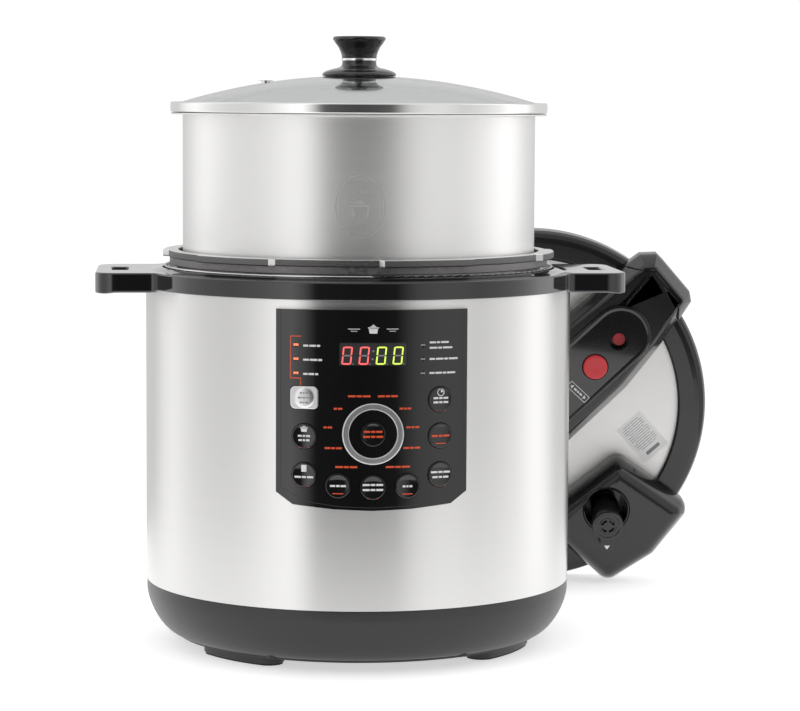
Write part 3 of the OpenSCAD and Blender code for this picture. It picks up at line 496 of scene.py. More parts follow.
def base_pan():
    """Bowl-shaped plastic base with an inset bottom rim, its feet standing on rubber pads."""
    low = box("base_pan")[0]
    pad_top = box("foot_pads")[1].z
    seam = box("outer_shell")[0].z
    floor, rim_r, lip, full = low.z + 6.0, 149.0, 2.0, 44.1
    wall = BODY_R - 0.2
    curve = []
    steps = 26
    for i in range(steps + 1):
        z = floor + lip + (full - floor - lip) * (i / steps) ** 1.5
        share = 1 - ((full - z) / (full - floor - lip)) ** 1.56
        curve.append((rim_r + (wall - rim_r) * share ** 0.64, z))
    inner = [(r - 2.6, max(z, floor + 3.6)) for r, z in reversed(curve[3:])]
    profile = [(0, floor)] + rounded([(rim_r - 2.2, floor, 0), (rim_r - 1.5, floor, 0.6),
                                      (rim_r - 1.5, floor + lip, 0.3)], closed=False)
    profile += curve + [(wall, seam - 0.9), (wall - 0.3, seam - 0.2), (wall - 1.2, seam - 0.2),
                        (wall - 1.2, seam + 6), (wall - 3, seam + 6)] + inner
    profile += [(curve[2][0] - 5, floor + 2.6), (0, floor + 2.6)]
    shape = Shape().lathe(profile, 192, closed=False)
    shape.piece("base_pan_bowl", "base", PAINT["base_plastic"], ["base_pan"], cuts=[base_vents(floor)])
    feet = Shape()
    for angle in foot_angles():
        feet.prism(foot_outline(), pad_top, floor + 0.4, matrix=Matrix.Rotation(angle, 4, "Z"))
    feet.piece("base_feet", "base", PAINT["base_plastic"], bevel=0.9)
    posts = Shape()
    for x, y in [(-98, -28), (-98, 28), (-22, -28), (-22, 28)]:
        posts.lathe([(0, floor + 1), (4.6, floor + 1), (4, floor + 8), (4, 33.8), (0, 33.8)], 32,
                    Matrix.Translation((x, y, 0)), closed=False)
    for k in range(6):
        a = math.tau * k / 6
        place = polar(148.5, a)
        posts.lathe([(0, floor + 1), (3.5, floor + 1), (3.5, 69.8), (0, 69.8)], 24, place, closed=False)
    for k in range(3):
        a = math.tau * k / 3
        place = polar(52, a)
        posts.lathe([(0, floor + 1), (5, floor + 1), (5, 71.8), (0, 71.8)], 24, place, closed=False)
    posts.piece("base_posts", "base", PAINT["base_plastic"])


def foot_angles():
    turn = math.radians(4.6 - 90)
    return [math.radians(a) + turn for a in (-52.5, 52.5, 127.5, -127.5)]


def foot_outline():
    """One arc-shaped foot with round ends."""
    inner, outer, half = 118.0, 142.5, 12.4
    mid, end = (inner + outer) / 2, (outer - inner) / 2
    a = math.radians(half)
    points = arc(0, 0, outer, -half, half, 10)
    points += arc(mid * math.cos(a), mid * math.sin(a), end, half, half + 180, 12)[1:-1]
    points += arc(0, 0, inner, half, -half, 10)
    points += arc(mid * math.cos(a), -mid * math.sin(a), end, -half - 180, -half, 12)[1:-1]
    return points


def base_vents(floor):
    """Cutters for the vent slots and screw holes of the base's underside and the inlet's opening."""
    shape = Shape()
    for ring in (40, 54, 84):
        for k in range(12):
            turn = Matrix.Rotation(math.radians(15 + 30 * k), 4, "Z") @ Matrix.Translation((ring + 4.5, 0, 0))
            shape.prism(rounded_rectangle(9, 3.2, 1.5, 3), floor - 2, floor + 5, matrix=turn)
    for k in range(4):
        turn = Matrix.Rotation(math.pi / 2 * k, 4, "Z") @ Matrix.Translation((104, 0, 0))
        shape.prism(ring_points(2.1, 20), floor - 2, floor + 5, matrix=turn)
    low, high = box("power_inlet")
    turn = Matrix.Translation((0, 0, (low.z + high.z) / 2)) @ Matrix.Rotation(math.pi / 2, 4, "X")
    shape.prism(rounded_rectangle(high.x - low.x + 0.4, high.z - low.z + 0.4, 2.5, 4), -200, -low.y + 4,
                matrix=turn)
    return shape


def collar_outline(inset):
    """The collar with its two handles, seen from above, as points in order of their angle."""
    handle_x = box("collar")[1].x - inset
    half = 62.0 - inset
    r = 173.8 - inset
    corner, fillet = 18.0 - inset, 9.0 + inset
    reach_y = half + fillet
    reach_x = math.sqrt((r + fillet) ** 2 - reach_y ** 2)
    join = math.degrees(math.atan2(reach_y, reach_x))
    upper = arc(handle_x - corner, half - corner, corner, 0, 90, 10)
    upper += [(handle_x - corner + (reach_x - handle_x + corner) * k / 4, half) for k in range(1, 4)]
    upper += arc(reach_x, reach_y, fillet, 270, 180 + join, 8)
    upper += arc(0, 0, r, join, 90, 36)[1:]
    lower_edge = [(handle_x, (half - corner) * k / 6) for k in range(6)]
    quarter = lower_edge + upper
    half_ring = quarter + [(-x, y) for x, y in reversed(quarter)][1:]
    return half_ring[:-1] + [(-x, -y) for x, y in half_ring[:-1]]


def collar():
    """Gloss black collar: sloped top, front band, hollow handles with a lid slot each."""
    low, high = box("collar")
    top, under = 301.0, 284.6
    bore, crest = 157.6, high.z
    rim = collar_outline(0)

    def circle(r, z):
        return [(r * x / math.hypot(x, y), r * y / math.hypot(x, y), z) for x, y in rim]

    def edge(inset, z):
        return at_height(collar_outline(inset), z)

    rounding = [(1.6 * (1 - math.sin(t)), top - 1.6 * (1 - math.cos(t)))
                for t in [math.pi / 2 * k / 4 for k in range(5)]]
    loops = [circle(bore, low.z + 8), circle(bore, crest - 0.8), circle(bore + 0.5, crest),
             circle(bore + 1.6, crest), circle(162, crest - 0.9), circle(166, top - 0.5),
             circle(169, top - 0.1)]
    loops += [edge(inset, z) for inset, z in rounding]
    band = COLLAR_Z - under

    def hem(inset, z):
        """Near the handles the lower edge is the handles' own; along the band it is higher."""
        outline = collar_outline(inset)
        return [(x, y, z + band * min(1.0, max(0.0, (abs(y) - 58) / 6))) for x, y in outline]

    loops += [hem(0, under + 1.0), hem(0.3, under + 0.3), hem(0.9, under), hem(2.0, under),
              edge(2.4, under + 13), circle(161, under + 13), circle(161, low.z + 8)]
    slots = Shape()
    slot_x = 192.0
    for side in (-1, 1):
        place = Matrix.Translation((side * slot_x, 0, 0))
        sizes = [(0, under - 4), (0, top - 1.2), (0.4, top - 0.7), (1.2, top - 0.3), (3, top + 2)]
        slots.loft([at_height(rounded_rectangle(12 + 2 * g, 39 + 2 * g, 2 + g, 4), z) for g, z in sizes],
                   matrix=place)
    Shape().loft(loops, closed=True).piece(
        "collar_body", "base", PAINT["collar_plastic"], ["collar"], sharp=40, cuts=[slots])
    sleeves = Shape()
    for side in (-1, 1):
        place = Matrix.Translation((side * slot_x, 0, 0))
        outer, inner = rounded_rectangle(17, 44, 4, 4), rounded_rectangle(12.1, 39.1, 2, 4)
        walls = [at_height(line, z) for line, z in
                 [(outer, under + 12.9), (outer, under), (inner, under), (inner, under + 12.9)]]
        sleeves.loft(walls, closed=True, matrix=place)
    sleeves.piece("collar_slot_sleeves", "base", PAINT["collar_plastic"])
    cup = box("condensation_cup")[1]
    rails = [(-28, 273), (-23.4, 273), (-23.4, 275.6), (-25.4, 275.6), (-25.4, 279.3), (25.4, 279.3),
             (25.4, 275.6), (23.4, 275.6), (23.4, 273), (28, 273), (28, under + 2.8), (-28, under + 2.8)]
    upright = Matrix.Rotation(math.pi / 2, 4, "X")
    Shape().prism(rails, -(cup.y - 6), -(BODY_R + 0.6), matrix=upright).piece(
        "collar_cup_rails", "base", PAINT["collar_plastic"], bevel=0.5)


def flange():
    """Cast bayonet flange: six lugs over a smooth band. Its tops and lug ends carry a painted highlight, its outer
    faces and the band below them painted shade.
    """
    top = box("bayonet_flange")[1].z
    lug_r, gap_r, inner = radius("bayonet_flange"), 152.8, 144.8
    bottom = top - 5.6
    half, slope = math.radians(13.5), math.radians(1.3)
    angles = []
    for k in range(6):
        centre = math.radians(60 * k + 17 - 90)
        angles += [centre - half + (2 * half) * i / 10 for i in range(11)]
        angles += [centre + half + slope + (math.tau / 6 - 2 * half - 2 * slope) * i / 10 for i in range(11)]
    near = [i % 22 < 11 for i in range(len(angles))]

    def ring(r_lug, r_gap, z):
        return [((r_lug if lug else r_gap) * math.cos(a), (r_lug if lug else r_gap) * math.sin(a), z)
                for a, lug in zip(angles, near)]

    loops = [ring(inner, inner, bottom), ring(inner, inner, top - 0.5), ring(inner + 0.5, inner + 0.5, top),
             ring(lug_r - 1.2, gap_r - 1.0, top), ring(lug_r - 0.4, gap_r - 0.3, top - 0.4),
             ring(lug_r, gap_r, top - 1.2), ring(lug_r, gap_r, bottom + 0.8),
             ring(lug_r - 0.6, gap_r - 0.4, bottom)]
    shape = Shape().loft(loops, closed=True)
    n = len(angles)
    # tops and lug ends take the bright metal as a painted highlight, the outer faces the dark metal as painted
    # shade
    for i in range(len(shape.faces)):
        k = i % n
        lug_end = near[k] != near[(k + 1) % n]
        top_side = i // n in (2, 3)
        shape.kinds[i] = 1 if lug_end or top_side else 0
    shape.piece("flange_lugs", "base", [PAINT["flange_cast"], PAINT["flange_cut"]], ["bayonet_flange"],
                sharp=25)
    # band under the lugs, coloured with the dark tubing finish as painted shade
    skirt = rounded([(147, bottom + 0.3, 0), (147, bottom - 6, 0.3), (152, bottom - 6, 0.8),
                     (152, bottom + 0.3, 0)])
    Shape().lathe(skirt, 160).piece("flange_band_painted_shade", "base", PAINT["element_steel"])


# ---------------------------------------------------------------- control panel

def softened(node, paint, bevel=0.5, body="base", name=None):
    """A finished copy of a CAD node's shape: welded, its flat faces made whole and its edges rounded."""
    source = frame["nodes"][node].data
    mesh = source.copy()
    mesh.materials.clear()
    mesh.materials.append(paint)
    bm = bmesh.new()
    bm.from_mesh(mesh)
    bmesh.ops.remove_doubles(bm, verts=bm.verts, dist=2e-6)
    bmesh.ops.dissolve_limit(bm, angle_limit=math.radians(0.6), verts=bm.verts, edges=bm.edges)
    bmesh.ops.recalc_face_normals(bm, faces=bm.faces)
    bm.to_mesh(mesh)
    bm.free()
    if "custom_normal" in mesh.attributes:
        mesh.attributes.remove(mesh.attributes["custom_normal"])
    obj = bpy.data.objects.new(name or node + "_part", mesh)
    bpy.context.scene.collection.objects.link(obj)
    if bevel:
        round_edges(obj, bevel)
    smooth(obj, 32)
    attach(obj, body)
    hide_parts(node)
    return obj


class Print:
    """Thin printed marks on a curved front: u runs along the curve from its middle, v is the height."""

    def __init__(self, r):
        self.r, self.shape = r, Shape()

    def point(self, u, v):
        a = u / self.r
        return (self.r * math.sin(a), -self.r * math.cos(a), v)

    def bar(self, u, v, w, h, kind=0):
        """A rectangle about its centre."""
        n = max(1, round(w / 2.5))
        points, faces = [], []
        for k in range(n + 1):
            x = u - w / 2 + w * k / n
            points += [self.point(x, v - h / 2), self.point(x, v + h / 2)]
        faces = [[2 * k, 2 * k + 2, 2 * k + 3, 2 * k + 1] for k in range(n)]
        self.shape.add(points, faces, kind=kind)

    def quad(self, corners, kind=0):
        self.shape.add([self.point(u, v) for u, v in corners], [list(range(len(corners)))], kind=kind)

    def ring(self, u, v, r0, r1, kind=0, steps=28):
        turns = [math.radians(360 * k / steps) for k in range(steps + 1)]
        points = []
        for t in turns:
            for r in (r0, r1):
                points.append(self.point(u + r * math.cos(t), v + r * math.sin(t)))
        faces = [[2 * k, 2 * k + 1, 2 * k + 3, 2 * k + 2] for k in range(steps)]
        self.shape.add(points, faces, kind=kind)

    def oval(self, u, v, half_w, half_h, line):
        """An oval outline."""
        steps = 64
        points = []
        for k in range(steps):
            t = math.tau * k / steps
            for grow in (0, -line):
                points.append(self.point(u + (half_w + grow) * math.cos(t),
                                         v + (half_h + grow) * math.sin(t)))
        n = 2 * steps
        faces = [[2 * k, 2 * k + 1, (2 * k + 3) % n, (2 * k + 2) % n] for k in range(steps)]
        self.shape.add(points, faces)

    def dashes(self, u, v, w, h, share=(3, 2, 4, 2), gap=0.7, kind=0):
        """A label line of plain dashes."""
        total = sum(share)
        free = w - gap * (len(share) - 1)
        x = u - w / 2
        for part in share:
            length = free * part / total
            self.bar(x + length / 2, v, length, h, kind)
            x += length + gap


def panel_prints():
    """Lamps, label lines, bracket and the marks round the menu ring."""
    p = Print(PANEL_R + 0.06)
    deg = math.pi / 180 * PANEL_R
    left, right = -18.9 * deg, 12.9 * deg
    rows = [253.9, 243.3, 232.6]
    for z, w in zip(rows, (13, 14.5, 11.5)):
        p.dashes(left + 4.4 + w / 2, z - 0.6, w, 1.5, (3, 4, 2), kind=0)
    for z, w in zip((255.7, 251.6, 243.2, 232.6), (15.5, 18.5, 23, 21)):
        p.dashes(right + 4.0 + w / 2, z, w, 1.4, (4, 2, 5) if w < 20 else (3, 4, 2, 5), kind=0)
    line = 0.75
    bracket = -20.7 * deg
    stem = -18.1 * deg
    p.bar((bracket + stem) / 2, 260.3, stem - bracket + line, line, 1)
    p.bar(bracket, 244.5, line, 31.6 + line, 1)
    p.bar((bracket + stem) / 2, 228.7, stem - bracket + line, line, 1)
    p.bar(stem, 225.4, line, 6.6, 1)
    centre = panel_place("menu_button")[1]
    marks = [(-10.5, 28.5, 17), (11.1, 28.5, 15), (-26.3, 19, 6.5), (24.5, 19, 9), (-34, 4.8, 6.5),
             (30.4, 4.8, 10), (-29.9, -10.8, 13), (29.7, -10.8, 13), (-20, -25, 16.5), (19, -25, 18.5)]
    for u, v, w in marks:
        p.dashes(u, centre + v, w, 1.45, (3, 2, 3) if w > 8 else (2, 3), kind=1)
    top = 266.2
    for side in (-1, 1):
        p.bar(side * 14.5, top, 9, 0.5, 0)
        p.bar(side * 14.5, top - 1.6, 5, 0.4, 0)
    pot_icon(p, 0, top - 0.6, 1.15, 0)
    p.shape.piece("panel_prints", "base", [WHITE_INK, ORANGE_INK])
    panel_border()
    lamps = Print(PANEL_R + 0.1)
    for z in rows:
        lamps.bar(-19.3 * deg, z, 3.8, 1.7, 0)
        lamps.bar(12.5 * deg, z, 3.4, 1.5, 1)
    lamps.shape.piece("panel_lamps", "base", [AMBER_LIGHT, GREY_INK])


def panel_border():
    """A thin line that frames the panel, set in from its edge."""
    low, high = box("control_panel")
    side = PANEL_R * math.asin((high.x - low.x) / 2 / PANEL_R) - 3.6
    corner = side - 22
    top, shoulder, bottom = high.z - 1.2, low.z + 16.6, low.z + 6.2
    path = [(-side, top), (-side, shoulder), (-corner, bottom), (-corner / 2, bottom - 3.1),
            (0, bottom - 4.0), (corner / 2, bottom - 3.1), (corner, bottom), (side, shoulder), (side, top)]
    line = 0.4
    p = Print(PANEL_R + 0.05)
    for (u0, v0), (u1, v1) in zip(path, path[1:]):
        run = math.hypot(u1 - u0, v1 - v0)
        du, dv = -(v1 - v0) / run * line / 2, (u1 - u0) / run * line / 2
        steps = max(1, round(abs(u1 - u0) / 3))
        for k in range(steps):
            a, b = k / steps, (k + 1) / steps
            xa, ya, xb, yb = u0 + (u1 - u0) * a, v0 + (v1 - v0) * a, u0 + (u1 - u0) * b, v0 + (v1 - v0) * b
            p.quad([(xa + du, ya + dv), (xa - du, ya - dv), (xb - du, yb - dv), (xb + du, yb + dv)])
    p.shape.piece("panel_border", "base", PAINT["switch_plastic"])


def pot_icon(p, u, v, scale, kind):
    """A small pot with two handles, a lid line and a knob."""
    def at(x, y):
        return (u + x * scale, v + y * scale)
    p.quad([at(-3, 0.6), at(-2.5, -2.4), at(2.5, -2.4), at(3, 0.6)], kind)
    p.bar(u, v + 1.3 * scale, 7.2 * scale, 0.7 * scale, kind)
    p.bar(u, v + 2.2 * scale, 3.6 * scale, 0.6 * scale, kind)
    p.bar(u, v + 3.0 * scale, 1.2 * scale, 0.7 * scale, kind)


def window():
    """Smoked window with two red and two green digits."""
    softened("display_window", PAINT["window_smoke"], 0.0)
    centre = middle("display_window").z - 1.0
    p = Print(PANEL_R - 0.5)
    tall, wide, stroke, slant = 13.6, 7.4, 1.15, 0.10
    starts = [-19.6, -6.8, 6.1, 18.8]
    for k, u0 in enumerate(starts):
        kind = 0 if k < 2 else 1

        def at(x, y):
            return (u0 + x + y * slant, centre + y)

        gap = 0.25
        for side in (-1, 1):
            x = side * (wide / 2 - stroke / 2)
            for end in (-1, 1):
                y0, y1 = end * gap, end * (tall / 2 - gap)
                tip = stroke / 2
                p.quad([at(x - stroke / 2, y0 + end * tip), at(x, y0), at(x + stroke / 2, y0 + end * tip),
                        at(x + stroke / 2, y1 - end * tip), at(x, y1), at(x - stroke / 2, y1 - end * tip)],
                       kind)
        for y, used in ((tall / 2 - stroke / 2, kind), (0, 2), (-tall / 2 + stroke / 2, kind)):
            x = wide / 2 - stroke / 2 - gap
            p.quad([at(-x, y), at(-x + stroke / 2, y + stroke / 2), at(x - stroke / 2, y + stroke / 2),
                    at(x, y), at(x - stroke / 2, y - stroke / 2), at(-x + stroke / 2, y - stroke / 2)], used)
        p.ring(u0 + wide / 2 + 0.6, centre - tall / 2 + 0.5, 0.0, 0.55, 2, 10)
    for y in (-2.6, 3.4):
        p.ring(-0.3 + y * slant, centre + y, 0.0, 0.75, 2, 12)
    p.shape.piece("window_digits", "base", [RED_LIGHT, GREEN_LIGHT, GREY_INK])


class Flat(Print):
    """Printed marks on a flat face: u to the right, v up, in a frame."""

    def __init__(self, matrix, lift=0.06):
        self.matrix, self.lift, self.shape = matrix, lift, Shape()

    def point(self, u, v):
        return self.matrix @ Vector((u, v, self.lift))


def button_cap(r):
    """Profile of a push button's cap about its own axis, height from the cooker's axis."""
    face = PANEL_R + 1.6
    return [(0, face - 0.75), (r * 0.45, face - 0.62), (r * 0.75, face - 0.28), (r - 1.5, face - 0.02),
            (r - 0.9, face), (r - 0.45, face - 0.15), (r - 0.1, face - 0.6), (r, face - 1.2), (r, 167),
            (0, 167)]


def buttons():
    """The nine round push buttons with their printed marks, and the silver mode button."""
    marks = {
        "slow_cook_button": ("pot", (9.5, 8.5), 0, True),
        "yogurt_button": ("jar", (14.5,), 0, True),
        "hour_button": (None, (12,), 0, True),
        "cook_time_button": (None, (15.5, 15.5), 0, True),
        "minute_button": (None, (7.5,), 0, True),
        "timer_button": ("clock", (12, 12), 0, True),
        "start_button": (None, (14.5,), 1, True),
        "keep_warm_button": (None, (15.5, 13), 0, True),
        "menu_button": (None, (14, 15), 1, False),
    }
    for name, (icon, lines, kind, underline) in marks.items():
        low, high = box(name)
        angle, z = panel_place(name)
        r = (high.z - low.z) / 2
        place = panel_frame(angle, z)
        Shape().lathe(button_cap(r), 64, place, closed=False).piece(name + "_cap", name,
                                                                    PAINT["button_black"], [name])
        p = Flat(panel_frame(angle, z, PANEL_R + 1.5), 0.02)
        top = 0.0
        if icon == "pot":
            pot_icon(p, 0, 5.4, 0.82, 0)
            top = -1.2
        elif icon == "jar":
            p.bar(0, 5.2, 4.0, 5.2, 0)
            p.bar(0, 8.3, 3.4, 0.6, 0)
            top = -1.4
        elif icon == "clock":
            p.ring(0, 5.4, 2.3, 2.9, 0)
            p.quad([(0, 5.4), (1.9, 5.4), (1.35, 6.75), (0, 7.3)], 0)
            top = -0.4
        start = top + (len(lines) - 1) * (1.5 if icon else 1.9)
        for k, w in enumerate(lines):
            p.dashes(0, start - k * (3.2 if icon else 3.8), w, 1.5, (3, 2, 3), kind=kind)
        if underline:
            p.bar(0, -8.3 if len(lines) > 1 or icon else -5.8, 8.2, 0.7, 1)
        p.shape.piece(name + "_print", name, [WHITE_INK, ORANGE_INK])
    mode_button()


def mode_button():
    low, high = box("mode_button")
    angle, z = panel_place("mode_button")
    face = PANEL_R + 1
    w = 22.0
    h = high.z - low.z
    place = panel_frame(angle, z)
    levels = [(0.0, 167), (0.0, face - 0.9), (0.25, face - 0.3), (0.9, face)]
    loops = [at_height(inset_outline(rounded_rectangle(w, h, 4), inset), level) for inset, level in levels]
    shape = Shape().loft(loops, matrix=place)
    dome = [(8.0, face - 0.5), (8.0, face + 0.1), (7.4, face + 0.5), (6.2, face + 0.85), (4, face + 1),
            (0, face + 1)]
    shape.lathe(dome, 64, place, closed=False)
    shape.piece("mode_button_cap", "mode_button", PAINT["button_silver"], ["mode_button"])
    p = Flat(panel_frame(angle, z, face + 1), 0.03)
    for v, length in ((3.6, 6.5), (0, 9.5), (-3.6, 6.5)):
        p.dashes(0, v, length, 1.1, (3, 2, 3), kind=0)
    p.shape.piece("mode_button_print", "mode_button", GREY_INK)


def menu_ring():
    angle, z = panel_place("menu_ring")
    outer, inner = 23.25, 18.15
    back, face = PANEL_R - 1.6, PANEL_R + 1.3
    profile = rounded([(inner, back, 0), (outer, back, 0), (outer, face - 0.5, 0.5), (outer - 0.9, face, 0.3),
                       (inner + 0.7, face, 0.3), (inner, face - 0.6, 0.3)])
    Shape().lathe(profile, 128, panel_frame(angle, z)).piece(
        "menu_trim_ring", "base", PAINT["trim_silver"], ["menu_ring"])


# ---------------------------------------------------------------- cooking pot and glass lid

def pot():
    """Brushed pot with a rolled lip and a round-cornered base, and a plain etched mark on its front."""
    low, high = box("inner_pot")
    wall, lip = 141.5, radius("inner_pot")
    t, corner, floor_t = 1.0, 14.0, 3.0
    outer = [(0, low.z)] + [(wall - corner + corner * math.sin(a), low.z + corner * (1 - math.cos(a)))
                            for a in [math.radians(9 * k) for k in range(11)]]
    roll = [(wall, high.z - 2.2), (wall + 0.5, high.z - 1.6), (wall + 1.4, high.z - 1.45),
            (lip - 0.9, high.z - 1.45), (lip - 0.2, high.z - 1.2), (lip, high.z - 0.75),
            (lip - 0.2, high.z - 0.3), (lip - 0.8, high.z), (wall + 0.4, high.z), (wall - 0.5, high.z - 0.5),
            (wall - t, high.z - 1.6)]
    inner = [(wall - corner + (corner - t) * math.sin(a), low.z + floor_t + (corner - t) * (1 - math.cos(a)))
             for a in [math.radians(90 - 9 * k) for k in range(11)]]
    Shape().lathe(outer + roll + inner + [(0, low.z + floor_t)], 192, closed=False).piece(
        "cooking_pot_shell", "cooking_pot", PAINT["pot_steel"], ["inner_pot"], sharp=50)
    p = Print(wall + 0.05)
    u, z = -8.0, 356.0
    p.oval(u, z, 19.0, 24.5, 0.8)
    p.oval(u, z, 17.0, 22.2, 0.45)
    pot_icon(p, u, z - 2.0, 2.3, 0)
    for k in (-1, 0, 1):
        p.ring(u + k * 5, z + 11.5, 0.0, 0.8, 0, 12)
    p.bar(u, z - 11.6, 12, 0.7, 0)
    p.shape.piece("cooking_pot_mark", "cooking_pot", ETCH)


def glass_lid():
    """Domed glass with a ground edge in a rolled steel rim, steam eyelet and screwed knob."""
    body = "glass_lid"
    glass_lo, glass_hi = box("glass_dome")
    edge_r = radius("glass_dome")
    top = glass_hi.z
    thick = 4.0
    edge_z = glass_lo.z + thick
    rise = top - edge_z
    dome = (edge_r ** 2 + rise ** 2) / (2 * rise)

    def height(r, drop=0.0):
        return top - dome + math.sqrt((dome - drop) ** 2 - r * r)

    steps = 40
    bore = 4.0
    outer = [(bore + (edge_r - bore) * k / steps, 0) for k in range(steps + 1)]
    upper = [(r, height(r)) for r, _ in outer]
    lower = [(r, max(height(r, thick), glass_lo.z)) for r, _ in reversed(outer)]
    Shape().lathe(upper + lower, 192).piece(
        "glass_lid_dome", body, PAINT["dome_glass"], ["glass_dome"], sharp=40)
    rim_lo, rim_hi = box("glass_rim")
    r = radius("glass_rim")
    profile = [(r - 1.4, rim_lo.z), (r - 0.5, rim_lo.z + 0.2), (r - 0.1, rim_lo.z + 0.8), (r, rim_lo.z + 1.6),
               (r, rim_hi.z - 1.8), (r - 0.15, rim_hi.z - 1.0), (r - 0.6, rim_hi.z - 0.35),
               (r - 1.4, rim_hi.z), (146.2, rim_hi.z), (145.5, rim_hi.z - 0.2), (145.5, rim_hi.z - 0.5),
               (146.2, rim_hi.z - 0.6), (r - 1.5, rim_hi.z - 0.7), (r - 0.9, rim_hi.z - 1.4),
               (r - 0.9, rim_lo.z + 2.4), (r - 1.3, rim_lo.z + 2.0), (140.3, rim_lo.z + 2.0),
               (139.6, rim_lo.z + 1.6), (139.5, rim_lo.z + 0.8), (139.8, rim_lo.z)]
    Shape().lathe(profile, 192).piece("glass_lid_rim", body, PAINT["rim_steel"], ["glass_rim"])
    centre = middle("vent_eyelet")
    place = Matrix.Translation((centre.x, centre.y, 0))
    low, high = box("vent_eyelet")
    eyelet = rounded([(2, low.z, 0.2), (3.9, low.z, 0.3), (3.9, high.z - 0.8, 0.1), (6.5, high.z - 0.8, 0.2),
                      (6.3, high.z - 0.2, 0.3), (2.8, high.z, 0.5), (2, high.z - 0.8, 0.3)])
    Shape().lathe(eyelet, 48, place).piece("glass_lid_eyelet", body, PAINT["rim_steel"], ["vent_eyelet"])
    knob(body, top, height)


def knob(body, top, height):
    """Bakelite knob: shield over the glass, neck with a chrome ring, flared grip with a dished top."""
    ring_lo, ring_hi = box("knob_ring")
    neck, shield = 14.1, radius("knob_skirt")
    under = [(r, height(r) + 0.12) for r in (0, 8, 16, 24, shield - 2.2)]
    skirt = under + [(shield - 0.6, height(shield) + 0.5), (shield, top + 0.6), (shield - 0.3, top + 1.5),
                     (shield - 1.6, top + 2.8), (shield - 4, top + 4.0), (shield - 8, top + 5.2),
                     (neck + 3, top + 6.3), (neck + 0.8, top + 7.2), (neck - 0.2, top + 8.6),
                     (neck - 0.5, ring_lo.z), (0, ring_lo.z)]
    Shape().lathe(skirt, 128, closed=False).piece("knob_shield", body, PAINT["knob_black"], ["knob_skirt"],
                                                  sharp=45)
    ring = rounded([(6, ring_lo.z, 0), (neck + 0.2, ring_lo.z, 0.7), (neck + 0.2, ring_hi.z, 0.7),
                    (6, ring_hi.z, 0)])
    Shape().lathe(ring, 96).piece("knob_chrome_ring", body, PAINT["chrome"], ["knob_ring"])
    low, high = box("lid_knob")
    r = (high.x - low.x) / 2
    tall = high.z - low.z
    grip = [(0, low.z), (neck - 0.4, low.z), (neck, low.z + 0.5), (neck + 0.1, low.z + 2.2),
            (neck + 1.0, low.z + 5.0), (neck + 2.7, low.z + 8.6), (neck + 4.8, low.z + 11.4),
            (r - 0.9, low.z + tall - 3.6), (r - 0.1, low.z + tall - 2.6), (r, low.z + tall - 1.6),
            (r - 0.5, low.z + tall - 0.5), (r - 1.5, high.z), (r - 3.0, high.z - 0.1),
            (r - 4.2, high.z - 0.7), (r - 8, high.z - 1.2), (0, high.z - 1.5)]
    Shape().lathe(grip, 128, closed=False).piece("knob_grip", body, PAINT["knob_black"], ["lid_knob"],
                                                 sharp=45)


# ---------------------------------------------------------------- pressure lid, in its own frame

def spot(node):
    """A node's middle in the bar handle's own frame."""
    return BAR.inverted() @ middle(node)


def bar_outline(inset):
    """Outline of the bar handle, the same after half a turn."""
    side = [(177, -17.5, 3), (178.5, 20, 3), (177.7, 27, 2), (167, 36.5, 2), (150, 38.5, 3), (0, 46, 20),
            (-77, 44.5, 20), (-123, 37, 12), (-152, 30, 3), (-172, 24.7, 3)]
    points = rounded(side + [(-x, -y, r) for x, y, r in side], 3)
    return inset_outline(points, inset)


def lid():
    body = "pressure_lid"
    lid_ring(body)
    lid_bar(body)
    lid_cover(body)
    valve_housing(body)
    lid_sticker(body)
    softened("lid_shell", PAINT["lid_steel"], 0.0, body, "lid_steel_dish")
    softened("gasket_plate", PAINT["plate_aluminium"], 0.0, body, "lid_gasket_plate")


def lid_ring(body):
    """Charcoal rim round the steel dish."""
    r = 160.5
    profile = rounded([(135, -4.3, 0), (135, -1.2, 0.8), (137, 0.1, 1.2), (150, 0.6, 3), (154.5, 0.4, 3),
                       (158.6, -1.6, 3), (r, -6, 3), (r, -23.2, 0.8), (r - 0.6, -24, 0.4), (159.05, -24, 0),
                       (159.05, -4.3, 0)], 5)
    Shape().lathe(profile, 192, LID).piece("lid_rim_ring", body, PAINT["lid_plastic"], ["lid_ring"])


def bar_section(inset_and_z):
    return [at_height(bar_outline(inset), z) for inset, z in inset_and_z]


